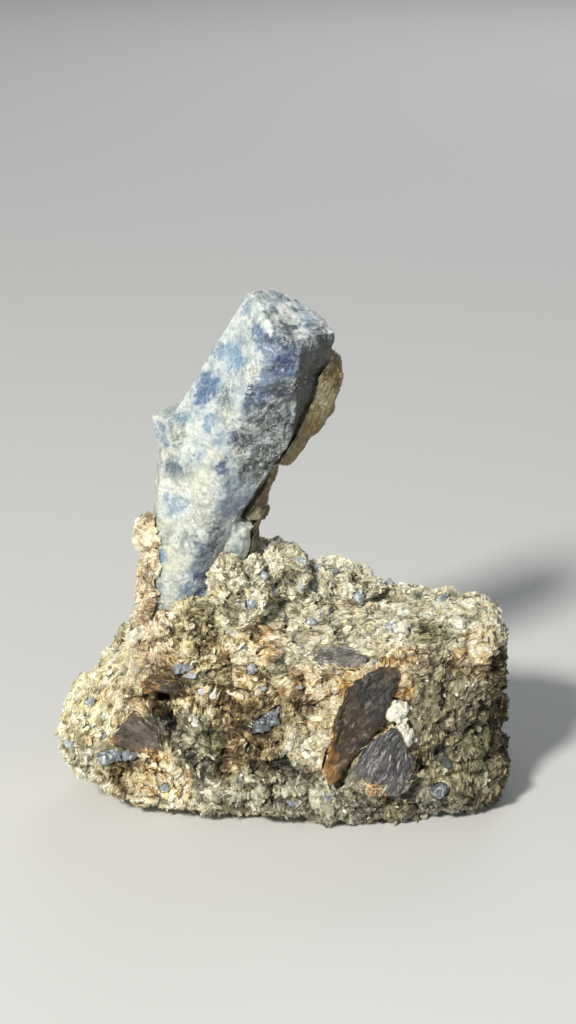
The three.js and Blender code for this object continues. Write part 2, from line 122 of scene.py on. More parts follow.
def coated(tint, *coats):
    """Colours under coats, each of them a colour and its share at each point."""
    for colour, share in coats:
        tint = blended(tint, colour, share)
    return tint


def greyed(tints):
    """Those colours, less strong and a little lighter, as small cloudy grains look."""
    return 1.15 * blended(tints, tints.mean(1, keepdims=True), 0.35)


# ---------------- noise

# Grains are in millimetres. A seed only keeps one pattern apart from the others.

def lattice(cells, seed):
    """A repeatable number from 0 to 1 for each whole-number cell."""
    i, j, k = (cells[..., n].astype(np.int64) for n in range(3))
    h = (i * 73856093) ^ (j * 19349663) ^ (k * 83492791) ^ (seed * 2654435761)
    h &= 0xFFFFFFFF
    h = ((h ^ (h >> 15)) * 2246822519) & 0xFFFFFFFF
    h = ((h ^ (h >> 13)) * 3266489917) & 0xFFFFFFFF
    return ((h ^ (h >> 16)) & 0xFFFFFF) / 0xFFFFFF


def haze(points, grain, seed):
    """Smooth noise from -1 to 1 with lumps about a grain across."""
    q = points / grain + seed * 7.31
    low = np.floor(q)
    t = q - low
    t = t * t * (3 - 2 * t)
    total = np.zeros(len(points))
    for corner in np.ndindex(2, 2, 2):
        share = np.prod(np.where(np.array(corner) == 1, t, 1 - t), axis=1)
        total += share * lattice(low + np.array(corner), seed)
    return 2 * total - 1


def layers(points, grain, seed, depth=3):
    """Haze at that grain, and at finer grains with less weight."""
    total, weight, whole = 0.0, 1.0, 0.0
    for n in range(depth):
        total = total + weight * haze(points, grain / 2 ** n, seed + 11 * n)
        whole += weight
        weight *= 0.55
    return total / whole


def grains(points, size, seed):
    """For each point: how far it is from the middle of the nearest grain and from that
    grain's edge, in grain sizes, the way from the middle, and the grain's own number
    from 0 to 1."""
    q = points / size
    home = np.floor(q)
    nearest = np.full(len(points), 9.0)
    second = np.full(len(points), 9.0)
    away = np.zeros_like(points)
    own = np.zeros(len(points))
    for step in np.ndindex(3, 3, 3):
        cell = home + np.array(step) - 1
        middle = cell + np.stack([lattice(cell, seed + n) for n in range(3)], 1)
        offset = q - middle
        reach = np.linalg.norm(offset, axis=1)
        closer = reach < nearest
        second = np.where(closer, nearest, np.minimum(second, reach))
        nearest = np.where(closer, reach, nearest)
        away[closer] = offset[closer]
        own[closer] = lattice(cell[closer], seed + 5)
    return nearest, second - nearest, away * size, own


def ramp(x, low, high):
    """0 below low, 1 above high and smooth between."""
    t = np.clip((x - low) / (high - low), 0, 1)
    return t * t * (3 - 2 * t)


def evened(values):
    """The same values spread evenly from 0 to 1 in their order."""
    return (np.argsort(np.argsort(values)) + 0.5) / len(values)


def chances(own, seed):
    """Three numbers from -0.5 to 0.5 for each grain, from the grain's own number."""
    cell = np.floor(own * 99991)[:, None] * np.ones(3)
    return np.stack([lattice(cell, seed + n) - 0.5 for n in range(3)], 1)


def drift(points, grain, seed, depth=2):
    """A smooth field of directions, each part from about -1 to 1."""
    return np.stack([layers(points, grain, seed + n, depth) for n in range(3)], 1)


# ---------------- meshes

def read(items, field, width=3, kind=np.float32):
    """One field of a mesh's vertices, edges or faces, with a row for each."""
    values = np.empty(len(items) * width, kind)
    items.foreach_get(field, values)
    return values.reshape(-1, width)


def places(mesh):
    """The places of a mesh's vertices, in millimetres."""
    return read(mesh.vertices, "co").astype(float) / MM


def settle(mesh, points):
    """Writes the places of a mesh's vertices, and keeps them off the bench."""
    points = points.copy()
    points[:, 2] = np.maximum(points[:, 2], BENCH_GAP)
    mesh.vertices.foreach_set("co", (points * MM).astype(np.float32).ravel())
    mesh.update()


def outward(mesh):
    """The unit normals of a mesh's vertices."""
    return read(mesh.vertex_normals, "vector").astype(float)


def ends_of(mesh):
    """The two vertices of each edge, as two arrays."""
    return read(mesh.edges, "vertices", 2, np.int32).T


def softened(mesh, points, times):
    """The places after each vertex has moved that many times towards its neighbours."""
    a, b = ends_of(mesh)
    here, there = np.concatenate([a, b]), np.concatenate([b, a])
    count = np.bincount(here, minlength=len(points))
    for _ in range(times):
        mean = np.stack([np.bincount(here, points[there, n], len(points)) for n in range(3)], 1)
        points = 0.5 * (points + mean / count[:, None])
    return points


def paint(mesh, name, values):
    """Writes one number, one colour or, as "lie", one place for each vertex."""
    values = np.asarray(values, np.float32)
    kind, field = "FLOAT", "value"
    if name == "lie":
        kind, field = "FLOAT_VECTOR", "vector"
    elif values.ndim == 2:
        kind, field = "FLOAT_COLOR", "color"
        values = np.column_stack([values, np.ones(len(values), np.float32)])
    mesh.attributes.new(name, kind, "POINT").data.foreach_set(field, values.ravel())


def joined(*meshes):
    """A bmesh of those meshes together."""
    bm = bmesh.new()
    for mesh in meshes:
        bm.from_mesh(mesh)
    return bm


def mesh_of(bm, name):
    """A new mesh of a bmesh, which is freed."""
    mesh = bpy.data.meshes.new(name)
    bm.to_mesh(mesh)
    bm.free()
    return mesh


def solid_of(node):
    """A bmesh of a CAD node, with the vertices that share a place made one."""
    bm = joined(frame["nodes"][node].data)
    bmesh.ops.remove_doubles(bm, verts=bm.verts, dist=SAME_PLACE)
    return bm


def filled_rock():
    """A bmesh of the rock with the sockets of three books filled in: the books, a fifth
    larger and set 0.7 mm further in, are their plugs."""
    bm = solid_of("matrix_rock")
    for node in ("mica_book_ledge", "mica_book_bronze", "mica_book_dark"):
        plug = solid_of(node)
        middle = sum((v.co for v in plug.verts), Vector()) / len(plug.verts)
        for v in plug.verts:
            v.co = middle + 1.2 * (v.co - middle) + Vector((0, 0.7, 0)) * MM
        mesh = mesh_of(plug, "plug")
        bm.from_mesh(mesh)
        bpy.data.meshes.remove(mesh)
    return bm


def plate_of(outline, thick):
    """A bmesh of a plate: its outline, and how many millimetres thick it is behind that."""
    bm = bmesh.new()
    face = bm.faces.new([bm.verts.new(Vector(corner) * MM) for corner in outline])
    face.normal_update()
    behind = -face.normal * thick * MM
    grown = bmesh.ops.extrude_face_region(bm, geom=[face])["geom"]
    moved = [v for v in grown if isinstance(v, bmesh.types.BMVert)]
    bmesh.ops.translate(bm, verts=moved, vec=behind)
    bmesh.ops.recalc_face_normals(bm, faces=bm.faces)
    return bm


def parts_of(mesh):
    """Which unconnected part of a mesh each vertex is in."""
    a, b = ends_of(mesh)
    part = np.arange(len(mesh.vertices))
    while (part[a] != part[b]).any():
        low = np.minimum(part[a], part[b])
        np.minimum.at(part, part[a], low)
        np.minimum.at(part, part[b], low)
        part = part[part]
    return part


def skin_of(name, bm, face_size):
    """A new object: the largest part of that solid, with even faces of that size."""
    mesh = mesh_of(bm, name)
    piece = linked(name, mesh)
    remesh = piece.modifiers.new("even", "REMESH")
    remesh.mode = "VOXEL"
    remesh.voxel_size = face_size * MM
    done = bpy.data.meshes.new_from_object(
        piece.evaluated_get(bpy.context.evaluated_depsgraph_get())
    )
    piece.modifiers.clear()
    piece.data = done
    piece.data.name = name
    bpy.data.meshes.remove(mesh)
    part = parts_of(done)
    loose = np.flatnonzero(part != np.bincount(part).argmax())
    if len(loose):
        bm = joined(done)
        bm.verts.ensure_lookup_table()
        bmesh.ops.delete(bm, geom=[bm.verts[n] for n in loose], context="VERTS")
        bm.to_mesh(done)
        bm.free()
    return piece


def divided(piece, lie, count):
    """The piece cut across its length, where its faces lie, into closed pieces."""
    cuts = np.quantile(lie, np.arange(1, count) / count)
    which = np.searchsorted(cuts, lie)
    parts = []
    for n in range(count):
        bm = joined(piece.data)
        bm.faces.ensure_lookup_table()
        others = [bm.faces[i] for i in np.flatnonzero(which != n)]
        bmesh.ops.delete(bm, geom=others, context="FACES")
        bmesh.ops.holes_fill(bm, edges=[e for e in bm.edges if e.is_boundary], sides=0)
        left = [e for e in bm.edges if e.is_boundary]
        if left:
            bmesh.ops.triangle_fill(bm, edges=left, use_beauty=False)
        bmesh.ops.triangulate(bm, faces=[f for f in bm.faces if len(f.verts) > 4])
        name = f"{piece.name}_{n + 1}"
        parts.append(linked(name, mesh_of(bm, name)))
    bpy.data.objects.remove(piece)
    return parts


def fit(piece, slot, material, *nodes):
    """Puts a finished piece on the part's one body."""
    piece.data.materials.clear()
    piece.data.materials.append(material)
    piece.data.shade_flat()
    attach(piece, "root")
    if nodes:
        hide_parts(*nodes)
    return piece


# ---------------- materials

class Nodes:
    """Short ways to add nodes to a node tree and to join them."""

    def __init__(self, tree):
        self.tree = tree

    def add(self, kind, inputs=(), **facts):
        """A new node with those facts and, by name or number, those inputs."""
        node = self.tree.nodes.new(kind)
        for key, value in facts.items():
            setattr(node, key, value)
        for key, value in dict(inputs).items():
            self.feed(value, node.inputs[key])
        return node

    def feed(self, source, socket):
        """Joins an output to an input, or sets the input to a plain value."""
        if isinstance(source, bpy.types.NodeSocket):
            self.tree.links.new(source, socket)
        else:
            socket.default_value = source

    def maths(self, operation, *values):
        """The result of that operation on one to three numbers."""
        return self.add("ShaderNodeMath", enumerate(values), operation=operation).outputs["Value"]

    def noise(self, place, scale, detail, roughness, distortion=0.0):
        """Noise from 0 to 1 at that place."""
        return self.add("ShaderNodeTexNoise", {
            "Vector": place, "Scale": scale, "Detail": detail, "Roughness": roughness,
            "Distortion": distortion,
        }).outputs["Fac"]

    def level(self, value, low, high, to_low=0.0, to_high=1.0, way="SMOOTHSTEP"):
        """The value taken from one range to another."""
        return self.add("ShaderNodeMapRange", {
            "Value": value, "From Min": low, "From Max": high, "To Min": to_low, "To Max": to_high,
        }, interpolation_type=way).outputs["Result"]


class Finish(Nodes):
    """A material under construction."""

    def __init__(self, name):
        self.material = bpy.data.materials.new(name)
        self.material.use_nodes = True
        super().__init__(self.material.node_tree)
        self.shader = self.tree.nodes["Principled BSDF"]
        self.place = self.add("ShaderNodeTexCoord").outputs["Object"]

    def own(self, name, output="Fac"):
        """The piece's own painted colour or number."""
        return self.add("ShaderNodeAttribute", attribute_name=name).outputs[output]

    def cloud(self, size, detail, distortion=0.0):
        """Noise from 0 to 1 with lumps of that many millimetres."""
        return self.noise(self.place, 1 / (size * MM), detail, 0.6, distortion)

    def mixed(self, share, a, b, blend="MIX"):
        """Colour a with that share of b. Either may be a colour like e5dcc0."""
        a, b = ((*linear(c), 1) if isinstance(c, str) else c for c in (a, b))
        return self.add("ShaderNodeMix", {"Factor": share, 6: a, 7: b},
                        data_type="RGBA", blend_type=blend).outputs[2]

    def patterned(self, group, colour, **inputs):
        """That colour times the brightness that a node group gives, and its height."""
        made = self.add("ShaderNodeGroup", inputs, node_tree=group).outputs
        grey = self.add("ShaderNodeCombineColor", dict.fromkeys(range(3), made["Brightness"]))
        return self.mixed(1.0, colour, grey.outputs["Color"], "MULTIPLY"), made["Height"]

    def gritted(self, colour, grain, contrast):
        """That colour with fine grain in it, and the grain's height."""
        return self.patterned(GRIT, colour, Vector=self.place, Grain=1 / (grain * MM),
                              Contrast=contrast)

    def bumped(self, height, depth):
        """Raises the surface by up to depth millimetres."""
        node = self.add("ShaderNodeBump",
                        {"Strength": 1.0, "Distance": depth * MM, "Height": height})
        self.feed(node.outputs["Normal"], self.shader.inputs["Normal"])

    def set(self, **values):
        """Sets the shader's inputs, and gives the finished material."""
        for key, value in values.items():
            self.feed(value, self.shader.inputs[key.replace("_", " ")])
        return self.material


def group_of(name, made_by, **inputs):
    """A node group that turns inputs of those kinds into a brightness and a height."""
    group = bpy.data.node_groups.new(name, "ShaderNodeTree")
    results = ("Brightness", "Height")
    for key, kind in inputs.items():
        group.interface.new_socket(key, in_out="INPUT", socket_type="NodeSocket" + kind)
    for key in results:
        group.interface.new_socket(key, in_out="OUTPUT", socket_type="NodeSocketFloat")
    nodes = Nodes(group)
    came = nodes.add("NodeGroupInput").outputs
    nodes.add("NodeGroupOutput", zip(results, made_by(nodes, came)))
    return group


def grit(nodes, came):
    """Fine mineral grain."""
    noise = nodes.noise(came["Vector"], came["Grain"], 3, 0.65)
    strength = nodes.maths("MULTIPLY", nodes.maths("SUBTRACT", noise, 0.5), came["Contrast"])
    return nodes.maths("ADD", strength, 1.0), noise


def fibres(nodes, came):
    """The fine fibres of a mica sheet, drawn out along its lie."""
    drawn = nodes.add("ShaderNodeVectorMath", {0: came["Lie"], 1: (0.9, 8.0, 5.0)},
                      operation="MULTIPLY")
    noise = nodes.noise(drawn.outputs[0], 1.0, 2, 0.6)
    darkest = nodes.maths("SUBTRACT", 1.0, came["Strength"])
    lightest = nodes.maths("MULTIPLY_ADD", came["Strength"], 0.7, 1.0)
    return nodes.level(noise, 0.3, 0.7, darkest, lightest, "LINEAR"), noise


GRIT = group_of("mineral grit", grit, Vector="Vector", Grain="Float", Contrast="Float")
FIBRES = group_of("mica fibres", fibres, Lie="Vector", Strength="Float")


def mica_finish(name, shiny, dull, coat, grain, contrast, fibrous, depth):
    """Flaky mineral in the piece's painted colours, with a silky gloss in patches: its
    roughness there and elsewhere, its clear coat, how large and strong its fine grain
    is, how strong its fibres are, and how deep both are in millimetres."""
    f = Finish(name)
    colour, height = f.gritted(f.own("tint", "Color"), grain, contrast)
    colour, drawn = f.patterned(FIBRES, colour, Lie=f.own("lie", "Vector"), Strength=fibrous)
    f.bumped(f.maths("ADD", height, drawn), depth)
    return f.set(Base_Color=colour, Roughness=f.level(f.own("gloss"), 0.0, 1.0, dull, shiny),
                 Coat_Weight=coat, Coat_Roughness=0.35, Specular_IOR_Level=0.6)


def corundum_finish():
    """Sapphire, and the small pale minerals: white threads and glints on painted colours."""
    f = Finish("sapphire")
    colour, height = f.gritted(f.own("tint", "Color"), 0.28, 0.7)
    glints = f.level(f.cloud(0.22, 1), 0.66, 0.74)
    colour = f.mixed(f.maths("MULTIPLY", glints, 0.45), colour, "dfe3de")
    waves = f.maths("ABSOLUTE", f.maths("SUBTRACT", f.cloud(1.0, 3, 0.8), 0.5))
    threads = f.maths("MULTIPLY", f.level(waves, 0.025, 0.075, 1.0, 0.0),
                      f.level(f.cloud(2.6, 2), 0.4, 0.62))
    threads = f.maths("MULTIPLY", threads, f.own("threads"))
    f.bumped(f.maths("ADD", height, threads), 0.04)
    return f.set(Base_Color=f.mixed(threads, colour, "e3e7e0"),
                 Roughness=f.level(f.own("gloss"), 0.2, 1.0, 0.55, 0.28),
                 Coat_Weight=0.15, Coat_Roughness=0.2, IOR=1.77, Specular_IOR_Level=0.4)


schist = mica_finish("schist", shiny=0.28, dull=0.6, coat=0.05, grain=0.3, contrast=0.6,
                     fibrous=0.5, depth=0.05)
flaky = mica_finish("mica flakes", shiny=0.18, dull=0.55, coat=0.1, grain=0.3, contrast=0.5,
                    fibrous=0.45, depth=0.02)
amber = mica_finish("amber mica", shiny=0.2, dull=0.55, coat=0.2, grain=0.4, contrast=0.6,
                    fibrous=0.35, depth=0.05)
sheeny = mica_finish("dark mica", shiny=0.42, dull=0.7, coat=0.04, grain=0.3, contrast=0.7,
                     fibrous=0.55, depth=0.04)
corundum = corundum_finish()


# ---------------- small shapes

def flake_shapes(count, sides, seed):
    """Thin closed flakes with ragged, curled outlines, as arrays of vertices and faces."""
    rng = np.random.default_rng(seed)
    shapes = []
    for _ in range(count):
        bm = bmesh.new()
        bmesh.ops.create_uvsphere(bm, u_segments=sides, v_segments=2, radius=1)
        curl, twist, lean = (rng.uniform(-most, most) for most in (0.45, 0.3, 0.25))
        for v in bm.verts:
            if abs(v.co.z) < 0.5:
                v.co.xy *= rng.uniform(0.72, 1.12)
            else:
                v.co.xy += Vector(rng.uniform(-0.2, 0.2, 2))
            x, y = v.co.xy
            v.co.z += curl * x * x + twist * x * y + lean * y * y
        shapes.append(arrays_of(bm))
    return shapes


def granule_shapes(count, seed, detail=1, facets_each=0):
    """Little angular grains, some broken to flat facets."""
    rng = np.random.default_rng(seed)
    rough = (0.95, 1.06) if facets_each else (0.72, 1.15)
    shapes = []
    for _ in range(count):
        bm = bmesh.new()
        bmesh.ops.create_icosphere(bm, subdivisions=detail, radius=1)
        for v in bm.verts:
            v.co *= rng.uniform(*rough)
        for _ in range(facets_each):
            side, reach = Vector(rng.normal(0, 1, 3)).normalized(), rng.uniform(0.35, 0.75)
            for v in bm.verts:
                v.co -= side * max(0, v.co @ side - reach)
        shapes.append(arrays_of(bm))
    return shapes


def arrays_of(bm):
    """The vertices and triangles of a bmesh, which is freed, as arrays."""
    bmesh.ops.triangulate(bm, faces=bm.faces)
    bmesh.ops.recalc_face_normals(bm, faces=bm.faces)
    bm.verts.index_update()
    verts = np.array([v.co[:] for v in bm.verts])
    faces = np.array([[v.index for v in f.verts] for f in bm.faces])
    bm.free()
    return verts, faces


def scattered(mesh, count, rng):
    """Seeded random places on a mesh and the way it faces there."""
    mesh.calc_loop_triangles()
    corners = read(mesh.loop_triangles, "vertices", 3, np.int32)
    p = places(mesh)
    a, b, c = (p[corners[:, n]] for n in range(3))
    area = np.linalg.norm(np.cross(b - a, c - a), axis=1)
    pick = rng.choice(len(corners), count, p=area / area.sum())
    s, t = rng.random(count), rng.random(count)
    flip = s + t > 1
    s[flip], t[flip] = 1 - s[flip], 1 - t[flip]
    point = a[pick] + (b - a)[pick] * s[:, None] + (c - a)[pick] * t[:, None]
    return point, unit(outward(mesh)[corners[pick]].mean(1))


def unit(v):
    """Those directions, one unit long."""
    return v / np.maximum(np.linalg.norm(v, axis=1, keepdims=True), 1e-9)


def turned(out, run, tilt):
    """Axes along, across and out of flakes that run that way and tilt about it."""
    run = unit(run - out * (run * out).sum(1)[:, None])
    across = unit(np.cross(out, run))
    return on_plane(run, unit(out * np.cos(tilt)[:, None] + across * np.sin(tilt)[:, None]))


def on_plane(run, face):
    """Axes along, across and out of flakes that lie in a plane and run that way."""
    run = unit(run - face * (run * face).sum(1)[:, None])
    return np.stack([run, np.cross(face, run), face], 1)


def flake_sizes(length, narrow):
    """The sizes of flakes of that length, and that much narrower than they are long."""
    return np.stack([length, length * narrow, length * 0.06 + 0.015], 1)


def one_mesh(name, shapes, which, points, axes, sizes, tints, glosses):
    """A piece made of many small shapes, each set at its point on its own axes."""
    made, start = [], 0
    for n, (shape, tris) in enumerate(shapes):
        mine = np.flatnonzero(which == n)
        scaled = shape[None] * sizes[mine][:, None, :]
        placed = np.einsum("fvk,fkx->fvx", scaled, axes[mine]) + points[mine][:, None]
        first = start + len(shape) * np.arange(len(mine))[:, None, None]
        start += len(mine) * len(shape)
        # Each shape takes its fibres from another part of their pattern.
        lies = scaled + (mine % 977 * [[0.37], [0.71], [1.3]]).T[:, None]
        made.append((
            placed.reshape(-1, 3), (tris[None] + first).reshape(-1, 3), lies.reshape(-1, 3),
            np.repeat(tints[mine], len(shape), 0), np.repeat(glosses[mine], len(shape)),
            np.repeat(mine, len(tris)),
        ))
    verts, faces, lies, colours, shine, cells = (np.concatenate(part) for part in zip(*made))
    mesh = bpy.data.meshes.new(name)
    mesh.vertices.add(len(verts))
    mesh.loops.add(len(faces) * 3)
    mesh.polygons.add(len(faces))
    mesh.loops.foreach_set("vertex_index", faces.astype(np.int32).ravel())
    mesh.polygons.foreach_set("loop_start", np.arange(0, len(faces) * 3, 3, dtype=np.int32))
    settle(mesh, verts)
    mesh.update(calc_edges=True)
    for key, values in (("tint", colours), ("gloss", shine), ("lie", lies)):
        paint(mesh, key, values)
    # Each shape gets a cell of its own in the bake UV map.
    side = math.ceil(math.sqrt(len(points)))
    cell = np.stack([cells % side, cells // side], 1)[:, None] + np.array(
        [[0.2, 0.2], [0.8, 0.2], [0.5, 0.8]])
    bake = mesh.uv_layers.new(name="OFBake")
    bake.uv.foreach_set("vector", (cell / side).astype(np.float32).ravel())
    return linked(name, mesh)


def tree_of(*nodes):
    """The surfaces of CAD nodes or pieces, for finding what lies near a point."""
    bm = joined(*(frame["nodes"].get(node, bpy.data.objects.get(node)).data for node in nodes))
    tree = BVHTree.FromBMesh(bm)
    bm.free()
    return tree


def uncovered(points, out, tree, reach=0.8):
    """Which points have nothing of those surfaces close in front of them."""
    return np.array([
        tree.ray_cast(Vector(p) * MM, Vector(n), reach * MM)[0] is None
        for p, n in zip(points, out)
    ])


def clearance(points, tree, reach):
    """How far each point is from those surfaces, up to that reach."""
    found = (tree.find_nearest(Vector(p) * MM, reach * MM)[3] for p in points)
    return np.array([reach if far is None else far / MM for far in found])


def nearest(points, others):
    """How far the nearest of some other points is."""
    tree = KDTree(len(others))
    for n, other in enumerate(others):
        tree.insert(other, n)
    tree.balance()
    return np.array([tree.find(p)[2] for p in points])


def facets(p, size, seed):
    """Flat broken facets: how far each point rises on the facet that it is on."""
    _, _, away, own = grains(p, size, seed)
    return (away * chances(own, seed)).sum(1)


# ---------------- schist

# Flake colours in each part of the rock: the dark colour of the gaps, which is also painted into
# hollows and cracks as shade, then (share, colour) of the flakes.
PALETTES = {
    "felt": ("565040", [(26, "ded8c2"), (28, "f2eede"), (16, "c4bba0"), (10, "98907a"),
                        (10, "aeb1aa"), (6, "d2c096"), (4, "6a6048")]),
    "cream": ("7c6b44", [(32, "eee4c2"), (20, "e3d3a2"), (24, "f8f3e2"), (11, "cbb884"),
                         (6, "a08d64"), (7, "c6c6b6")]),
    "gold": ("4b3719", [(24, "e0c792"), (26, "f0e3be"), (14, "bf9b5c"), (12, "8c6c40"),
                        (16, "f6efd8"), (8, "54402a")]),
    "rust": ("45290f", [(26, "d6ab66"), (18, "b57e40"), (22, "ebcf9a"), (10, "7c532a"),
                        (18, "f3e8c6"), (6, "8a6038")]),
    "umber": ("1e160d", [(28, "46371f"), (24, "634d30"), (14, "2b2219"), (14, "86704b"),
                         (11, "b39a68"), (9, "dccfa4")]),
    "char": ("1c1915", [(26, "45423a"), (22, "625e54"), (14, "26231f"), (14, "857f70"),
                        (13, "b3ae9b"), (11, "e0dcca")]),
    "silver": ("35322a", [(24, "cfcdbe"), (20, "a5a396"), (18, "e9e6d8"), (14, "777462"),
                          (14, "b9ab84"), (10, "4d4a40")]),
    "moss": ("1f2116", [(30, "70705a"), (22, "8f8e70"), (18, "4c4e3a"), (12, "b3ae8a"),
                        (10, "6a6044"), (8, "a39a76")]),
    "olive": ("2a2416", [(24, "756c4e"), (24, "968b68"), (12, "4a412b"), (20, "beb38a"),
                         (14, "ded6b6"), (6, "39301f")]),
    "dusk": ("2e271c", [(26, "a09274"), (22, "7d7058"), (18, "bfb294"), (14, "5a4e3c"),
                        (10, "dbd2b6"), (10, "8c8a80")]),
    "fold": ("7a6856", [(30, "d6c3a6"), (22, "c2a98b"), (22, "e6dac0"), (8, "9c8468"),
                        (18, "efe6d2")]),
}

# Where those parts lie: the middle and reach of each, in millimetres.
ZONES = {
    "cream": [(-31.8, -7.0, 15.1, 4.5), (-30.6, -2.0, 17.8, 3.3), (-26.9, 0.5, 20.8, 3.0),
              (-24.1, -7.1, 20.1, 3.0), (-8.1, -4.7, 27.7, 2.1), (2.5, -12.7, 13.2, 1.5),
              (23.8, -11.6, 8.3, 1.4), (-30.0, 6.0, 13.0, 5.0)],
    "fold": [(-20.0, 0.0, 42.0, 4.0), (-20.5, 0.0, 36.0, 4.0), (-20.8, 0.0, 31.0, 3.5),
             (-21.2, -3.9, 27.4, 2.6), (-20.4, -4.9, 24.9, 1.8), (-22.0, 3.0, 28.0, 2.5)],
    "olive": [(-12.8, -6.3, 29.0, 3.2), (-12.9, -3.5, 30.8, 2.4), (-10.6, -8.0, 23.8, 1.8),
              (-4.0, 14.0, 22.0, 5.0)],
    "gold": [(-16.7, -7.1, 25.3, 1.8), (-18.2, -10.5, 7.7, 2.7), (-23.4, -7.9, 18.8, 1.8),
             (-4.6, -10.0, 21.4, 2.1), (4.7, -11.1, 22.6, 2.1), (4.7, -12.8, 16.7, 1.8),
             (27.3, -7.6, 25.2, 2.1), (28.8, -3.0, 26.5, 1.8), (12.0, 15.0, 12.0, 5.0)],
    "rust": [(-10.4, -8.2, 25.9, 1.4), (-3.2, -5.2, 27.1, 2.4), (-21.5, -5.7, 19.5, 1.0),
             (-21.0, -8.1, 18.1, 1.2), (-20.7, -9.8, 12.3, 1.4), (17.9, -8.3, 25.5, 1.7),
             (14.8, -10.3, 24.8, 1.3), (16.4, -9.6, 25.3, 1.2), (17.2, -10.6, 22.8, 1.4),
             (1.3, -9.9, 23.0, 1.8), (9.4, -10.3, 22.7, 1.6), (7.0, -12.9, 8.9, 1.4),
             (31.2, -8.3, 2.4, 1.4), (13.9, -15.3, 7.6, 1.4), (20.0, 14.0, 20.0, 2.5)],
    # The umber and char parts lie in the deep pits: their dark colours are dark mica and painted
    # shade in the pits.
    "umber": [(-7.9, -11.8, 13.1, 1.7), (-3.9, -13.0, 10.6, 1.7), (-3.9, -11.4, 18.7, 1.5),
              (-18.0, -8.4, 22.7, 2.0), (-20.1, -7.6, 19.5, 1.7), (-19.1, -8.4, 18.8, 1.4),
              (-25.0, -8.8, 8.7, 1.7), (-7.5, -10.4, 18.2, 1.7), (-5.4, -11.9, 14.0, 2.0),
              (-8.4, -11.6, 10.1, 2.0), (-11.8, -7.3, 29.0, 1.5), (-1.7, -10.8, 20.2, 1.6),
              (2.0, -11.8, 19.0, 1.8), (25.8, -8.4, 24.8, 1.8), (20.0, -11.8, 10.8, 1.2),
              (32.3, -4.7, 17.4, 1.8), (32.5, -4.7, 23.9, 1.5), (32.4, -5.5, 11.1, 1.8),
              (34.0, 3.0, 14.0, 5.0), (-14.0, 14.0, 12.0, 4.0)],
    "char": [(-18.9, -9.0, 16.4, 1.6), (-17.1, -9.7, 13.6, 1.7), (-15.0, -10.2, 11.1, 1.7),
             (-13.2, -11.0, 8.6, 1.6), (-19.9, -8.5, 18.4, 1.2),
             (0.6, -13.8, 10.2, 2.0), (23.0, -10.9, 10.9, 1.2), (4.0, 16.0, 18.0, 2.5)],
    "silver": [(-13.6, -9.2, 16.5, 1.2), (2.1, -14.5, 5.6, 3.0), (8.0, -14.4, 4.6, 3.3),
               (-5.4, -13.4, 6.7, 2.7), (-10.7, -11.8, 5.9, 2.1), (20.8, -11.8, 4.2, 1.5),
               (-31.5, -6.0, 8.0, 2.6), (0.0, 15.0, 5.0, 6.0)],
    "moss": [(-11.7, -10.4, 13.5, 1.8), (21.9, -3.0, 27.0, 2.0), (9.8, -12.5, 9.2, 2.1),
             (29.1, -8.5, 13.3, 2.6), (28.8, -10.1, 9.1, 1.8), (28.0, 12.0, 14.0, 4.0)],
    "felt": [(2.1, -6.3, 26.3, 3.9), (-3.9, -3.8, 33.3, 3.9), (6.7, 3.2, 28.0, 4.5),
             (15.9, 4.4, 28.3, 3.9), (23.6, 5.6, 27.8, 3.3), (14.1, -3.4, 26.7, 3.3),
             (-10.6, -3.7, 33.3, 1.8), (-8.0, 8.0, 36.0, 6.0)],
    "dusk": [(21.3, -9.4, 24.4, 2.7), (24.3, -9.9, 19.8, 2.7), (20.6, -11.2, 17.1, 2.1),
             (30.0, -9.5, 4.7, 2.1), (15.5, -13.0, 4.0, 2.7), (-24.0, 11.0, 16.0, 5.0)],
}

# Where the mica runs one way: the middle, the reach and the way.
RUNS = [
    ((-17.0, -9.0, 15.0), 5.0, (0.5, -0.1, -0.85)), ((-14.0, -11.0, 9.0), 4.0, (0.5, -0.1, -0.85)),
    ((22.0, -10.0, 21.0), 6.0, (-0.55, -0.1, -0.8)), ((27.0, -9.0, 12.0), 5.0, (-0.2, 0.0, -1.0)),
    ((-30.0, -4.0, 16.0), 6.0, (-0.5, -0.2, -0.85)), ((4.0, -4.0, 27.0), 7.0, (1.0, -0.15, -0.1)),
    ((18.0, 0.0, 27.5), 7.0, (1.0, -0.1, 0.0)), ((12.0, -12.0, 15.0), 4.0, (0.5, 0.0, 0.85)),
]


def zone_shares(points):
    """How much each palette counts at each point, one column for each."""
    spread = points + 1.5 * np.stack([layers(points, 3.0, seed, 3) for seed in (41, 42, 43)], 1)
    columns = []
    for name in PALETTES:
        share = np.zeros(len(points))
        for x, y, z, reach in ZONES[name]:
            far = np.linalg.norm(spread - (x, y, z), axis=1) / (1.35 * reach)
            share = np.maximum(share, np.exp(-far ** 2))
        columns.append(share)
    shares = np.stack(columns, 1)
    names = list(PALETTES)
    rest = np.clip(0.55 - shares.max(1), 0.03, 1)
    top = ramp(spread[:, 2], 21, 27)
    low = ramp(-spread[:, 2], -9, -4)
    right = ramp(spread[:, 0], 14, 24) * (1 - top)
    patchy = layers(points, 4.5, 45, 2)
    for name, share in (
        ("felt", top), ("silver", low * 0.7), ("dusk", right),
        ("gold", (1 - top) * (1 - right) * (0.7 + 0.5 * patchy)),
        ("umber", (1 - top) * (1 - low) * (0.4 - 0.6 * patchy)),
        ("cream", (1 - top) * (1 - right) * 0.4),
    ):
        shares[:, names.index(name)] += rest * np.clip(share, 0, 1)
    shares = shares ** 2.2
    return shares / shares.sum(1, keepdims=True)


def share_of(shares, *names):
    """How much those palettes count together."""
    return sum(shares[:, list(PALETTES).index(name)] for name in names)


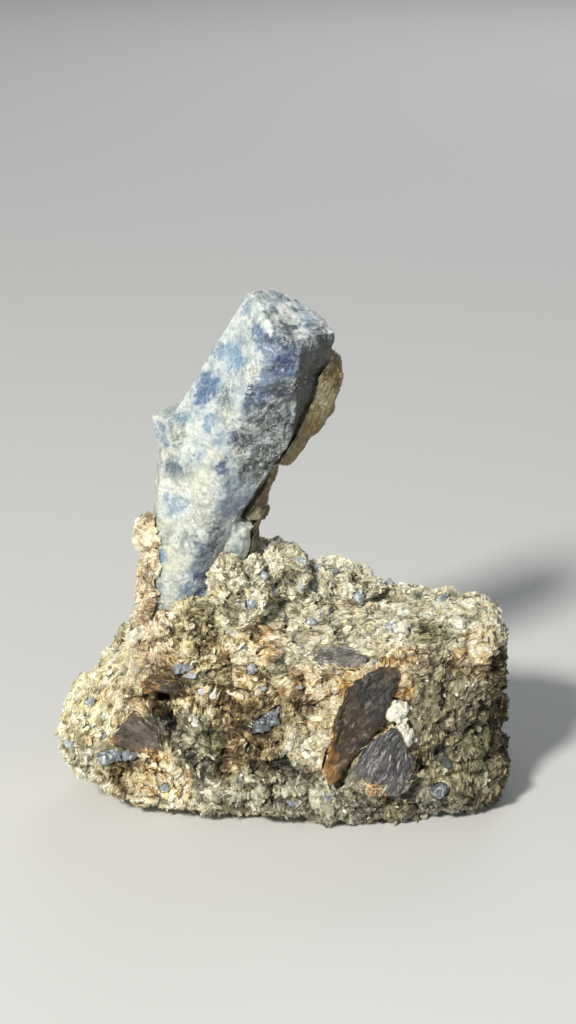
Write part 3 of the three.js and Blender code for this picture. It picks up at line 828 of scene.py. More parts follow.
def way_of_growth(p):
    """The way the mica runs in that part of the rock."""
    run = 0.9 * drift(p, 4.2, 71)
    for middle, reach, way in RUNS:
        pull = np.exp(-((p - np.array(middle)) ** 2).sum(1) / reach ** 2)
        sign = np.where((run * np.array(way)).sum(1) < 0, -1, 1)
        run += 1.2 * (pull * sign)[:, None] * np.array(way)
    return unit(run)


def mineral_colours(shares, luck):
    """The colour of the mica in its part of the rock: dark where luck is near 0, and
    light near 1."""
    tints = np.zeros((len(luck), 3))
    for n, (_, flakes) in enumerate(PALETTES.values()):
        ordered = sorted(flakes, key=lambda flake: linear(flake[1]).sum())
        weights = np.array([w for w, _ in ordered], float)
        middles = (weights.cumsum() - weights / 2) / weights.sum()
        colours = linears(c for _, c in ordered)
        mixed = np.stack([np.interp(luck, middles, colours[:, k]) for k in range(3)], 1)
        tints += shares[:, n:n + 1] * mixed
    return tints * np.array([1.04, 1.03, 0.95])


# Spots of painted shade on the rock: the middle, the reach and how much.
SHADE_SPOTS = [((-1.0, -12.0, 15.0), 8.0, 0.18), ((-16.0, -10.0, 9.0), 5.0, 0.1),
          ((22.5, -9.5, 21.5), 4.5, 0.14), ((-25.0, -4.0, 23.0), 3.5, 0.06)]


def painted_light_and_shade(p):
    """How much lighter or darker the rock's colour is painted at each point: painted light on the
    left and the top, and painted shade on the right, low down, on the upper left slope, in some
    spots and at the right end, which is painted browner too.
    """
    right = ramp(p[:, 0], 12, 26) * (1 - ramp(p[:, 2], 22.5, 26.5)) * ramp(-p[:, 1], -12, -4)
    end = ramp(p[:, 0], 30.5, 33.5) * (1 - ramp(p[:, 2], 23, 27))
    lit = 0.11 * ramp(-p[:, 0], 4, 18) + 0.12 * ramp(p[:, 2], 22, 27) + 0.1 * ramp(-p[:, 0], 25, 31)
    lit -= 0.15 * ramp(p[:, 2], 17, 22) * ramp(-p[:, 0], 20, 23)
    for middle, reach, much in SHADE_SPOTS:
        lit -= much * np.exp(-((p - middle) ** 2).sum(1) / reach ** 2)
    low = 0.16 * ramp(-p[:, 2], -9, -4) * ramp(p[:, 0], -18, -8)
    return (1 + lit - low - 0.27 * right)[:, None] * (1 - end[:, None] * (0.36, 0.46, 0.66))


# What stays clear of the rock's skin and its loose mica.
SET_IN = [n for n in frame["nodes"] if n not in ("matrix_rock", "mica_crust_left")]
SET_IN += ["bronze_book", "dark_book", "ledge_book"]
SET_IN.remove("mica_book_ledge")

# The crumbs' sizes and how far they stand out, in millimetres, how thick their sheets
# are next to their size, and the lightest tint.
BIG_CRUMB, FINE_CRUMB, HIGHEST, SHEET, LIGHTEST = 3.4, 1.5, 0.55, 0.16, 0.88


class Sheeting:
    """The stacks of mica sheets that make up the rock, at each of some points: each
    crumb of the rock is one stack, which lies its own way and is wavy."""

    def __init__(self, p, out, calm, size, seed):
        q = p + 0.55 * drift(p, 2.6, seed) + 0.12 * drift(p, 0.8, seed + 3)
        self.near, self.edge, away, self.own = grains(q, size, seed + 6)
        self.chance = chances(self.own, seed + 7)
        loose = (1.1 - 0.6 * calm)[:, None]
        self.run = unit(way_of_growth(q - away) + loose * chances(self.own, seed + 8))
        up = self.chance + 0.2 * calm[:, None] * out
        up = unit(up - self.run * (0.9 * (up * self.run).sum(1))[:, None])
        facing = (up * out).sum(1)
        self.up = up * np.where(facing < 0, -1, 1)[:, None]
        self.facing = np.abs(facing)
        height = (away * self.up).sum(1)
        self.lie = np.stack([(away * self.run).sum(1), height,
                             (away * np.cross(self.run, self.up)).sum(1)], 1)
        # Each stack is cut into sheets, each with its own luck.
        sheet = height / (SHEET * size) + 9 * self.own
        level = np.floor(sheet)
        self.part = sheet - level
        cell = np.stack([level, np.floor(self.own * 9999), 0 * self.own], 1)
        self.luck = lattice(cell, seed + 9)
        self.flat_on = ramp(self.facing, 0.5, 0.85)
        plane = np.clip(-0.8 * height / np.maximum(self.facing, 0.6), -0.6, 0.6)
        step = 0.25 * size * SHEET * (ramp(self.part, 0.75, 1.0) - self.part + 0.5)
        crack = 1 - ramp(np.minimum(self.part, 1 - self.part), 0.0, 0.22)
        ribs = size * (0.14 * (self.luck - 0.5) - 0.05 * crack)
        self.rise = self.flat_on * (plane + 2.2 * step) + (1 - self.flat_on) * ribs
        self.crack = crack * (1 - 0.6 * self.flat_on)


def rock_skin(name, solid, depth):
    """The schist itself: a solid with a broken surface of crumbs and sheets, and the
    facts of its growth that the loose mica follows. Depth scales its relief."""
    piece = skin_of(name, solid, ROCK_FACE)
    mesh = piece.data
    p, out = places(mesh), outward(mesh)
    middles = read(mesh.polygons, "center")[:, 0].copy()
    shares = zone_shares(p)
    calm = share_of(shares, "felt", "cream", "dusk")
    set_in = tree_of(*SET_IN)
    clear = clearance(p, set_in, reach=2.5)
    big = Sheeting(p, out, calm, BIG_CRUMB, seed=400)
    fine = Sheeting(p, out, 0.5 * calm, FINE_CRUMB, seed=420)
    domes = (0.75 - 0.3 * calm) * (0.5 - big.near) + 0.25 * (0.5 - fine.near)
    gaps = 0.55 * (1 - ramp(big.edge, 0.0, 0.16)) * ramp(big.chance[:, 0], -0.3, 0.3)
    broken = 0.5 * layers(p, 3.6, 3, 2) + 0.8 * big.chance[:, 1] * (1 - 0.4 * calm)
    local = 0.8 * big.rise + 0.8 * fine.rise + domes - gaps + 0.06 * haze(p, 0.45, 5)
    pits = 1.5 * share_of(shares, "umber", "char") + 0.9 * ramp(layers(p, 3.4, 51), 0.15, 0.55)
    rise = local + broken - pits
    rise = np.where(rise > 0, HIGHEST * np.tanh(rise / HIGHEST), rise)
    rise = np.where(rise > 0, rise * ramp(clear, 0.15, 1.4), rise * ramp(clear, 0.3, 2.4))
    rise = depth * (rise - 0.25 * (1 - ramp(clear, 0.15, 1.4)))
    close = np.flatnonzero(clear < 1.0)
    rise[close] *= uncovered(p[close], out[close], set_in, reach=1.0)
    settle(mesh, p + out * rise[:, None])
    luck = fine.luck - 0.5 + 0.7 * (big.luck - 0.5) + 0.9 * layers(p, 1.0, 61, 3)
    luck += 0.7 * fine.chance[:, 0] + 0.5 * big.chance[:, 2] + 0.5 * layers(p, 3.0, 64, 2)
    # Edge-on sheets are lighter towards one edge: partly a painted highlight where the edges catch
    # the light, partly their worn edges.
    luck += 0.5 * ramp(fine.part, 0.35, 0.85) * (1 - fine.flat_on)
    luck = evened(luck) ** 0.75
    tint = mineral_colours(shares, luck)
    # Painted shade: hollows and cracks take the dark colour of the gaps.
    gap = shares @ linears(dark for dark, _ in PALETTES.values())
    hollow_shade = np.clip(ramp(-local, -0.05, 0.75) + 0.5 * fine.crack + 0.35 * big.crack, 0, 1)
    tint = blended(tint, gap, 0.85 * hollow_shade)
    tint *= (1.04 + 0.5 * fine.chance[:, 2] + 0.3 * big.chance[:, 1])[:, None]
    # Painted light and shade by place over the rock's colour.
    paint(mesh, "tint", np.clip(tint * painted_light_and_shade(p), 0, LIGHTEST))
    paint(mesh, "lie", fine.lie + 40 * fine.own[:, None])
    paint(mesh, "gloss", np.clip(0.15 + 0.6 * fine.flat_on + 0.3 * fine.chance[:, 1], 0, 1))
    grown = {"middles": middles, "shares": shares, "luck": luck, "up": fine.up, "run": fine.run,
             "facing": fine.facing, "hollow_shade": hollow_shade}
    return piece, grown


PLATES = flake_shapes(10, sides=6, seed=5)
SLIVERS = flake_shapes(10, sides=4, seed=6)
SLIVERS_EACH = 24000    # how many slivers one piece of the felt holds


def mica_felt(name, rock, grown, plates, slivers):
    """Loose plates and slivers of mica, lying in the sheets that they peel from."""
    rng = np.random.default_rng(20)
    total = plates + slivers
    p, out = places(rock.data), outward(rock.data)
    wanted = rng.permutation(len(p))[:int(total * 1.5)]
    wanted = wanted[uncovered(p[wanted], out[wanted], tree_of(*SET_IN))][:total]
    p, out = p[wanted], out[wanted]
    shares, luck, up, run, facing, hollow_shade = (
        grown[key][wanted] for key in ("shares", "luck", "up", "run", "facing", "hollow_shade"))
    count = len(p)
    plate = np.arange(count) < plates
    axes = on_plane(run + rng.normal(0, 0.16, p.shape), unit(up + rng.normal(0, 0.14, p.shape)))
    luck = np.clip(luck + rng.normal(0.06, 0.27, count), 0, 1)
    tints = mineral_colours(shares, luck) * rng.uniform(0.7, 1.25, count)[:, None]
    # A few slivers are painted near white as glints.
    bright = rng.random(count) < 0.08
    tints[bright] = blended(tints[bright], "efe9d6", 0.6)
    # Painted light and shade by place, and painted shade in the hollows.
    tints *= painted_light_and_shade(p)
    tints *= (1 - 0.45 * hollow_shade)[:, None]
    length = np.where(plate, rng.gamma(5, 0.08, count), rng.gamma(5, 0.07, count))
    narrow = np.where(plate, rng.uniform(0.5, 0.95, count), rng.uniform(0.12, 0.34, count))
    sizes = flake_sizes(length, narrow)
    stands = np.sqrt(1 - np.clip(facing, 0, 1) ** 2)
    lift = 0.5 * stands * sizes[:, 1] * rng.random(count) + rng.uniform(-0.03, 0.06, count)
    p = p + out * lift[:, None]
    gloss = rng.beta(1.6, 2.0, count)
    parts = [(name + "_plates", slice(0, plates), PLATES)]
    for n, first in enumerate(range(plates, count, SLIVERS_EACH)):
        parts.append((f"{name}_felt_{n + 1}", slice(first, first + SLIVERS_EACH), SLIVERS))
    which = rng.integers(0, len(SLIVERS), count)
    return [one_mesh(title, made, which[part], p[part], axes[part], sizes[part], tints[part],
                     gloss[part]) for title, part, made in parts]


def specks(name, body, count, sizes, colours, wanted_at, seed, hidden_by=SET_IN):
    """Tiny loose grains among the flakes, from the first size to the second. wanted_at
    gives the chance of one at a place."""
    rng = np.random.default_rng(seed)
    p, out = scattered(body.data, count * 12, rng)
    wanted = wanted_at(p) > rng.uniform(0.2, 0.9, len(p))
    if hidden_by:
        wanted &= uncovered(p, out, tree_of(*hidden_by))
    p, out = p[wanted][:count], out[wanted][:count]
    count = len(p)
    least, most = sizes
    size = rng.uniform(0, 1, count) ** 1.6 * (most - least) + least
    axes = turned(out, rng.normal(0, 1, (count, 3)), rng.uniform(-0.9, 0.9, count))
    tints = linears(colours)[rng.integers(0, len(colours), count)]
    tints = tints * rng.uniform(0.7, 1.25, count)[:, None]
    scale = size[:, None] * rng.uniform([0.7, 0.6, 0.35], [1.4, 1.1, 0.8], (count, 3))
    shapes = granule_shapes(8, seed)
    return one_mesh(name, shapes, rng.integers(0, len(shapes), count),
                    p + out * (0.1 * size)[:, None], axes, scale, greyed(tints),
                    rng.uniform(0.3, 1.0, count))


def rim_slivers(books, rock, most):
    """Slivers of the rock that lap over the rims of the books."""
    rng = np.random.default_rng(91)
    meshes = [bpy.data.objects[name].data for name in books]
    p, out = (np.concatenate([found(mesh) for mesh in meshes]) for found in (places, outward))
    corners = [(np.array(BARE[name]), np.roll(BARE[name], -1, 0)) for name in books if name in BARE]
    rim = np.concatenate([a + t * (b - a) for a, b in corners for t in np.linspace(0, 1, 15)])
    far = np.minimum(clearance(p, tree_of(rock), 0.8), 0.8 * nearest(p, rim))
    keep = (far < rng.uniform(0.1, 0.77, len(p))) & uncovered(p, out, tree_of(rock), 1.0)
    pick = rng.permutation(np.flatnonzero(keep))[:most]
    p, out = p[pick], out[pick]
    count = len(p)
    axes = turned(out, way_of_growth(p) + rng.normal(0, 0.5, (count, 3)),
                  rng.normal(0, 0.35, count))
    sizes = flake_sizes(rng.gamma(5, 0.07, count), rng.uniform(0.12, 0.34, count))
    # Mica colours with painted light and shade by place.
    tints = mineral_colours(zone_shares(p), rng.uniform(0.1, 1.0, count)) * painted_light_and_shade(p)
    return one_mesh("rim_slivers", SLIVERS, rng.integers(0, len(SLIVERS), count),
                    p + out * 0.04, axes, sizes, tints, rng.beta(1.6, 2.0, count))


def in_zones(*names):
    """A function that gives how much those palettes count at some points."""
    return lambda p: share_of(zone_shares(p), *names)


# Pebbles of corundum and quartz in the rock: place, radius and colour.
PEBBLES = [
    ((2.2, 1.3, 33.7), 1.0, "b9c2c6"), ((4.1, 3.3, 32.6), 1.1, "525c62"),
    ((6.7, 5.8, 34.4), 1.3, "59625c"), ((7.0, 3.6, 28.8), 1.0, "3f4a5a"),
    ((15.7, 3.5, 29.4), 0.75, "98a4b2"), ((12.0, -2.7, 27.5), 1.0, "8d959e"),
    ((-1.8, -0.5, 33.1), 1.1, "b4b5c4"), ((-23.3, -3.5, 22.6), 0.75, "a9b2ba"),
    ((-14.3, -9.5, 23.3), 0.9, "98a2ac"), ((-12.5, -10.3, 21.3), 0.9, "c3ccd4"),
    ((-11.0, -10.1, 20.8), 0.9, "e6e3d8"), ((-9.1, -9.9, 20.4), 0.8, "e9e4d4"),
    ((-2.7, -10.6, 21.4), 0.75, "9aa5b5"), ((1.9, -10.5, 22.1), 0.75, "8f9aa8"),
    ((0.9, -14.6, 5.1), 0.9, "77879c"), ((6.2, -14.8, 5.7), 1.1, "8c949c"),
    ((23.6, -11.3, 10.4), 1.2, "4c5258"), ((24.4, -11.8, 8.5), 1.0, "e2dcc6"),
    ((30.1, -4.2, 26.9), 1.2, "b9b4a4"), ((-27.9, -6.7, 15.3), 0.7, "a3b0c0"),
    ((0.3, -12.8, 13.1), 0.9, "efece0"), ((2.8, -13.5, 12.3), 1.1, "ece6d2"),
    ((3.2, -13.3, 13.8), 1.4, "e9e0c4"), ((-13.6, -9.5, 16.3), 0.9, "c2c8c8"),
    ((8.7, -12.2, 13.3), 1.0, "d9d2b8"), ((-14.0, 12.0, 24.0), 1.2, "8c9db4"),
    ((12.0, 15.0, 20.0), 1.3, "e6e3d8"), ((26.0, 13.0, 12.0), 1.1, "77879c"),
]


def pebbles(body):
    """Each pebble sits on the nearest bare place of the rock, half sunk in it."""
    rng = np.random.default_rng(88)
    tree = tree_of(body.name)
    found = [tree.find_nearest(Vector(place) * MM)[:2] for place, _, _ in PEBBLES]
    p = np.array([tuple(at) for at, _ in found]) / MM
    out = np.array([tuple(normal) for _, normal in found])
    count = len(p)
    radius = np.array([r for _, r, _ in PEBBLES])
    axes = turned(out, rng.normal(0, 1, (count, 3)), rng.uniform(-0.6, 0.6, count))
    scale = radius[:, None] * rng.uniform([0.85, 0.55, 0.45], [1.25, 0.9, 0.7], (count, 3))
    shapes = granule_shapes(8, 89, detail=3, facets_each=9)
    return one_mesh("set_pebbles", shapes, rng.integers(0, len(shapes), count),
                    p - out * (0.05 * radius)[:, None], axes, scale,
                    greyed(linears(c for _, _, c in PEBBLES)), rng.uniform(0.3, 0.9, count))


# ---------------- sapphire

# The way the big prism grows, and its colour patches. Each patch has its middle, its
# reach across, how much longer it is along the prism, its colour and its glassiness.
GROWTH = np.array([math.sin(math.radians(28.6)), -0.06, math.cos(math.radians(28.6))])
BLUES = {
    "sky": ("93adc0", "6b8fb2"), "pale": ("a0b4c1", "7f99ae"), "periwinkle": ("8aa5bd", "4c6e98"),
    "royal": ("6685aa", "20396a"), "slate": ("546a86", "283c5c"), "navy": ("425468", "172338"),
    "ink": ("2e3c4c", "141a22"), "lilac": ("6d7e92", "7f90a8"), "steel": ("6f8290", "4f6272"),
    "milk": ("aeb6b2", "bcc3be"), "rose": ("b39f8a", "9c8670"),
}
PATCHES = [
    ((-5.6, -1.7, 77.6), 0.9, 1.0, "pale", 0.4), ((-3.6, -5.9, 74.1), 1.7, 1.0, "periwinkle", 0.9),
    ((-0.8, -6.9, 73.2), 2.6, 0.75, "slate", 1.0), ((0.5, -5.2, 75.1), 1.0, 0.8, "navy", 0.6),
    ((5.3, -3.2, 74.0), 1.8, 0.8, "ink", 0.7), ((-2.7, -6.9, 71.6), 1.3, 1.0, "lilac", 0.9),
    ((-0.5, -6.7, 70.0), 2.0, 0.95, "royal", 0.9), ((-8.0, -2.5, 70.5), 2.3, 0.9, "sky", 0.5),
    ((-9.7, -0.6, 71.0), 1.2, 1.0, "pale", 0.4),
    ((-11.7, -0.9, 65.6), 1.7, 1.45, "periwinkle", 0.8),
    ((-2.2, -6.4, 67.3), 2.1, 1.0, "lilac", 1.0), ((-4.3, -6.4, 65.5), 1.6, 1.35, "royal", 0.9),
    ((0.0, -5.9, 65.9), 1.9, 0.8, "navy", 0.9), ((-11.2, -3.1, 61.0), 0.9, 1.8, "sky", 0.6),
    ((-18.6, 0.6, 58.1), 1.3, 1.1, "periwinkle", 0.5),
    ((-14.7, -0.5, 60.9), 1.3, 1.0, "pale", 0.4), ((-6.2, -5.9, 59.0), 2.0, 0.6, "navy", 0.7),
    ((-7.8, -6.4, 59.2), 1.1, 0.8, "royal", 0.7), ((-16.1, -1.1, 52.8), 1.4, 1.2, "steel", 0.7),
    ((-9.5, -5.3, 54.8), 1.2, 1.2, "royal", 0.7), ((-9.2, -5.7, 51.1), 1.0, 1.8, "navy", 0.7),
    ((-7.1, -4.0, 49.1), 2.7, 1.2, "lilac", 0.8), ((-17.8, -0.6, 48.4), 1.0, 1.3, "pale", 0.4),
    ((-15.7, -2.0, 47.1), 1.5, 1.3, "pale", 0.5), ((-10.7, -4.1, 44.0), 1.0, 0.9, "navy", 0.8),
    ((-13.5, -3.7, 42.4), 1.5, 1.0, "steel", 0.6), ((-11.6, -3.4, 40.4), 1.2, 1.6, "slate", 0.7),
    ((-13.0, -2.6, 35.6), 1.5, 1.4, "royal", 1.0), ((-19.2, -1.3, 38.1), 1.0, 1.9, "sky", 0.4),
    ((-19.7, -1.5, 33.1), 1.0, 2.2, "pale", 0.4), ((-14.6, -3.5, 35.5), 1.2, 1.2, "pale", 0.4),
    ((-7.6, -2.2, 43.6), 1.3, 0.9, "steel", 0.5), ((2.7, -2.7, 75.3), 0.9, 1.0, "sky", 0.4),
    ((3.7, -1.3, 75.4), 0.8, 0.8, "pale", 0.4), ((-2.6, -2.3, 78.0), 0.9, 0.7, "pale", 0.3),
    ((-9.9, -4.8, 58.6), 1.2, 1.2, "pale", 0.4), ((-13.1, -2.4, 56.0), 1.2, 1.3, "pale", 0.3),
    ((-5.6, -2.2, 43.2), 2.2, 1.2, "milk", 0.3), ((-18.7, 1.2, 53.0), 0.9, 2.5, "rose", 0.2),
    ((-19.2, 2.4, 48.5), 1.0, 2.5, "rose", 0.2), ((3.0, 7.5, 70.0), 2.6, 1.3, "slate", 0.7),
    ((-6.0, 8.4, 62.0), 2.2, 1.6, "periwinkle", 0.7), ((-10.0, 8.4, 54.0), 2.0, 1.5, "lilac", 0.8),
    ((-12.0, 8.4, 46.0), 1.8, 1.6, "royal", 0.7), ((-2.0, 2.0, 78.0), 2.0, 1.0, "pale", 0.4),
    ((2.5, 1.0, 76.5), 1.6, 1.0, "sky", 0.5), ((-13.0, 5.0, 64.0), 2.0, 1.4, "sky", 0.5),
]

# Where the skin is a dark and white grit, and where it is a cream crust: middle, reach.
PEPPER = [((-1.6, -5.5, 62.5), 4.0), ((-3.2, -4.6, 56.8), 3.8), ((0.5, -5.2, 75.1), 1.4),
          ((1.7, -5.5, 67.0), 1.8), ((-5.6, -5.8, 58.6), 2.4), ((-5.0, -4.4, 53.4), 2.0),
          ((0.0, 8.0, 64.0), 3.0)]
CREAM = [((-12.7, -3.9, 46.6), 2.6), ((-11.9, -4.1, 49.1), 2.0), ((-9.0, -6.4, 63.0), 2.2),
         ((-5.2, -6.0, 69.0), 1.4), ((-16.0, -2.0, 58.0), 2.0), ((-7.0, -5.0, 57.0), 1.2),
         ((-12.0, 7.0, 58.0), 3.0)]

# The right side of the prism, painted dark as shade, begins at this line, from its top down.
SIDE_EDGE = np.array([(2.6, -7.0, 76.0), (2.0, -7.2, 73.3), (0.7, -4.4, 58.6), (-5.9, -2.9, 48.2),
                      (-8.5, -2.5, 43.0)])

# The front edge of the big prism, worn round, from its top down: place and width.
WORN_EDGE = [((-3.0, -6.9, 73.0), 1.8), ((-7.4, -6.6, 62.8), 2.4), ((-9.4, -5.6, 50.0), 3.4),
             ((-13.4, -3.9, 38.1), 4.6), ((-19.9, -2.2, 24.6), 5.0)]


def patch_shares(p):
    """Each patch's share at each point."""
    q = p + 0.5 * drift(p, 1.2, 97, 3)
    away = 0.5 * grains(q, 2.0, 98)[2] + 0.5 * grains(q, 0.9, 99)[2]
    q = p - away + 1.2 * drift(p, 2.8, 101, 3)
    frayed = 0.25 * layers(p, 0.9, 104, 3)
    shares = []
    for middle, reach, longer, _, _ in PATCHES:
        away = (q - np.array(middle)) * (1, 0.75, 1)
        along = away @ GROWTH
        off_axis = away - along[:, None] * GROWTH
        far = np.sqrt((off_axis ** 2).sum(1) + (along / longer) ** 2) / (1.45 * reach)
        shares.append(ramp(-far - frayed, -1.3, -0.5))
    return np.stack(shares, 1)


def nearness(p, spots):
    """How near each point is to any of those spots, from 0 to 1."""
    q = p + 0.7 * drift(p, 1.5, 108)
    found = np.zeros(len(p))
    for middle, reach in spots:
        far = np.linalg.norm(q - middle, axis=1) / reach
        found = np.maximum(found, ramp(-far, -1.3, -0.6))
    return found


def foot(p):
    """How near each point is to the small prism at the foot of the big one."""
    return np.exp(-((p - (-5.8, -2.5, 43.5)) ** 2).sum(1) / 7.8)


def worn(p):
    """How much of the worn edge there is at each point."""
    found = 0.65 * foot(p)
    for (a, wide_a), (b, wide_b) in zip(WORN_EDGE, WORN_EDGE[1:]):
        a, b = np.array(a), np.array(b)
        t = np.clip((p - a) @ (b - a) / ((b - a) @ (b - a)), 0, 1)
        far = np.linalg.norm(p - a - t[:, None] * (b - a), axis=1)
        found = np.maximum(found, np.exp(-(far / (wide_a + t * (wide_b - wide_a))) ** 2))
    return found


def crystal_marks(p):
    """What the skin of the crystal is like at each of some points."""
    shares = patch_shares(p)
    glassy = np.max(shares * np.array([g for *_, g in PATCHES]), 1)
    pepper, cream = nearness(p, PEPPER), nearness(p, CREAM)
    pepper *= (1 - 0.75 * ramp(glassy, 0.3, 0.8)) * ramp(layers(p, 2.0, 66, 2), -0.75, -0.15)
    crusty = ramp(layers(p, 3.2, 38), 0.1, 0.6) * (1 - glassy) + pepper + 0.9 * cream
    nets = [ramp(-np.abs(layers(p + 0.3 * drift(p, 0.7, 127), size, 44, 3)), -0.15, -0.02)
            for size in (1.7, 0.9)]
    net = np.maximum(nets[0], 0.85 * nets[1]) * ramp(haze(p, 0.45, 52), -0.6, 0.2)
    _, seam, chip_away, chip = grains(p + 1.2 * drift(p, 2.5, 121), 3.4, 62)
    edge = np.stack([np.interp(-p[:, 2], -SIDE_EDGE[:, 2], SIDE_EDGE[:, n]) for n in (0, 1)], 1)
    return SimpleNamespace(
        shares=shares, blue=shares.max(1), glassy=glassy, pepper=pepper, cream=cream,
        crusty=np.clip(crusty, 0, 1), net=net, chip=chip, edge=edge,
        chips=(chip_away * chances(chip, 63)).sum(1) * ramp(seam, 0.0, 0.35),
    )


def crystal_rise(p, m):
    """How far each point of those marks stands out of the smooth crystal."""
    small, _, _, crumb = grains(p + 0.3 * drift(p, 0.8, 125), 0.55, 12)
    rise = (0.03 + 0.06 * m.crusty) * (0.5 - small + crumb - 0.5 + 0.5 * haze(p, 0.4, 15))
    rise += 0.16 * np.maximum(m.pepper, m.cream) * (m.net - 0.4)
    rise += 0.16 * layers(p, 2.2, 21, 4) - 0.1 * m.blue + 0.25 * m.chips
    rise += 0.04 * haze(p, 0.5, 16)
    near_edge = np.exp(-((p[:, :2] - m.edge) ** 2).sum(1) / 0.9) * ramp(p[:, 2], 44, 47)
    rise -= 0.45 * near_edge * ramp(layers(p, 1.4, 58, 3), -0.15, 0.35)
    return rise + 0.4 * foot(p) * layers(p, 1.1, 74, 3)


def right_shade(p, out, m):
    """How much each point is on the right side, which is painted dark as shade."""
    past = p[:, 0] - m.edge[:, 0] + 0.5 * (p[:, 1] - m.edge[:, 1]) + 0.35 * layers(p, 1.5, 55)
    right = ramp(past, -0.1, 0.7) * ramp(-out[:, 1] + out[:, 0], 0.1, 0.5)
    return right * ramp(-p[:, 2], -75, -72) * ramp(p[:, 2], 44.5, 47)


def crystal_tint(p, out, m, right):
    """The crystal's colour: cloudy grey, glassy blue patches, and white over them, with painted
    shade on the front faces and on the right side.
    """
    front = ramp(-out[:, 1] + 0.55 * out[:, 0], 0.62, 1.0) * ramp(-p[:, 2], -78, -75)
    q = p + 0.8 * drift(p, 1.8, 131, 3)
    clouds = 0.9 * layers(q, 3.4, 31, 4) + 0.35 * layers(p, 0.9, 32, 3) + 0.25 * (m.chip - 0.5)
    tint = blended("74828a", "a5b1b2", ramp(clouds, -0.55, -0.05))
    tint = blended(tint, "d5dbd6", ramp(clouds, -0.1, 0.4))
    # The faces turned to the front are painted darker and bluer: painted shade, and the bluer
    # colour of those faces.
    tint = blended(tint, tint * np.array([0.5, 0.61, 0.7]), 0.9 * front)
    warm = ramp(layers(p, 3.5, 33) - 0.05 * (p[:, 2] - 58), -0.1, 0.6) * (1 - 0.7 * front)
    tint = blended(tint, tint * np.array([1.13, 1.05, 0.86]), warm)
    mottle = 0.9 * layers(p, 1.1, 35, 3) + 0.6 * haze(p, 0.42, 37)
    for share, (_, _, _, colour, clear) in zip(m.shares.T, PATCHES):
        core = ramp(mottle + 1.1 * share, 0.35, 0.95)
        tint = blended(tint, blended(*BLUES[colour], core), (0.74 + 0.24 * clear) * share)
    # Milky grains and broken white veins lie over the blue.
    vein = ramp(-np.abs(layers(q, 2.2, 44, 4)), -0.06, -0.01) * ramp(haze(p, 1.5, 43), -0.3, 0.4)
    fine_vein = ramp(-np.abs(layers(q, 1.2, 46, 3)), -0.05, 0.0) * ramp(haze(p, 2, 42), 0, 0.5)
    vein = np.maximum(vein, fine_vein)
    milk = haze(p, 0.34, 45) + 0.5 * haze(p, 0.8, 48) + 0.7 * m.crusty - 0.3 * m.blue
    milk = ramp(milk, 0.3, 1.0)
    white = blended("ccd6d4", "d6d5c2", np.maximum(warm, m.cream))
    web = np.clip(m.net + 0.35 * haze(p, 0.3, 47), 0, 1)
    tint = coated(
        tint,
        (white, 0.75 * vein * (1 - right) * (1 - 0.5 * m.glassy)),
        (white, 0.8 * milk * (1 - 0.6 * m.blue) * (1 - m.pepper)),
        ("1f2830", 0.95 * m.pepper * (1 - web)),
        ("ccd2d0", 0.85 * m.pepper * web),
        ("8b958f", 0.6 * m.cream * (1 - web)),
        ("d9d9ca", 0.85 * m.cream * web),
    )
    # The grit is darker, and the front faces get more painted shade.
    tint *= (1 - 0.42 * m.pepper - 0.16 * front)[:, None]
    # Pale rims round the patches, sugary grains, and over them painted shade, near black, on the
    # right side.
    halo = ramp(4 * m.blue * (1 - m.blue), 0.35, 0.9) * ramp(haze(p, 0.9, 59), -0.35, 0.3)
    sugar = ramp(haze(p, 0.3, 53) + 0.4 * haze(p, 0.7, 54), 0.45, 0.75)
    tint = coated(
        tint,
        ("dde3e0", 0.5 * halo * (1 - right) * (1 - m.pepper) * (1 - 0.5 * front)),
        ("d5dad6", 0.4 * sugar * (1 - right)),
        (blended("111110", "302e29", ramp(haze(p, 0.5, 49), -0.3, 0.6)), 0.95 * right),
    )
    lace = ramp(haze(p, 0.6, 64) + 0.7 * haze(p, 0.28, 65), -0.5, 0.5)
    tint *= (0.79 + 0.21 * lace * (1 - m.pepper))[:, None]
    # White crumbs on the foot, and a pitted cap.
    cap = ramp(out[:, 2], 0.5, 0.8) * ramp(p[:, 2], 70, 73)
    pitted = layers(p, 1.0, 57, 3)
    return coated(
        tint,
        ("e2e3da", 0.7 * (foot(p) * ramp(haze(p, 0.6, 75), -0.2, 0.4))),
        ("46545f", 0.85 * cap * ramp(pitted, 0.06, 0.36)),
        ("eef1ee", 0.85 * cap * ramp(-pitted, 0.06, 0.36)),
    )


def sapphire_skin():
    """The big crystal and the stub grown on it: cloudy blue with glassy patches, white
    veins and sugary crusts."""
    piece = skin_of("sapphire_skin", solid_of("sapphire_crystal"), CRYSTAL_FACE)
    mesh = piece.data
    p = places(mesh)
    soft = softened(mesh, p, 260)
    p = blended(softened(mesh, p, 3), soft, 0.95 * worn(p))
    settle(mesh, p)
    out = outward(mesh)
    marks = crystal_marks(p)
    settle(mesh, p + out * crystal_rise(p, marks)[:, None])
    right = right_shade(p, out, marks)
    bare = (1 - 0.85 * right) * (1 - 0.8 * marks.pepper) * (1 - 0.85 * marks.glassy)
    paint(mesh, "tint", crystal_tint(p, out, marks, right))
    paint(mesh, "threads", 0.7 * bare)
    paint(mesh, "gloss", np.clip(0.25 + 0.7 * marks.glassy - 0.3 * marks.crusty, 0, 1))
    return piece


crystal = fit(sapphire_skin(), "sapphire", corundum, "sapphire_crystal")
fit(specks("white_grit", crystal, 700, (0.04, 0.14), ["b3b9b8", "9ba3a4", "c9ccc6", "848d90"],
           lambda p: np.maximum(nearness(p, PEPPER), 0.8 * nearness(p, CREAM)), seed=84,
           hidden_by=None),
    "sapphire", corundum)


# ---------------- mica crusts

def aligned(run, across):
    """Turns places into places along, across and out of sheets that run that way."""
    run = np.array(run, float) / np.linalg.norm(run)
    across = np.array(across, float) - run * (run @ np.array(across, float))
    across /= np.linalg.norm(across)
    return np.stack([run, across, np.cross(run, across)], 1)


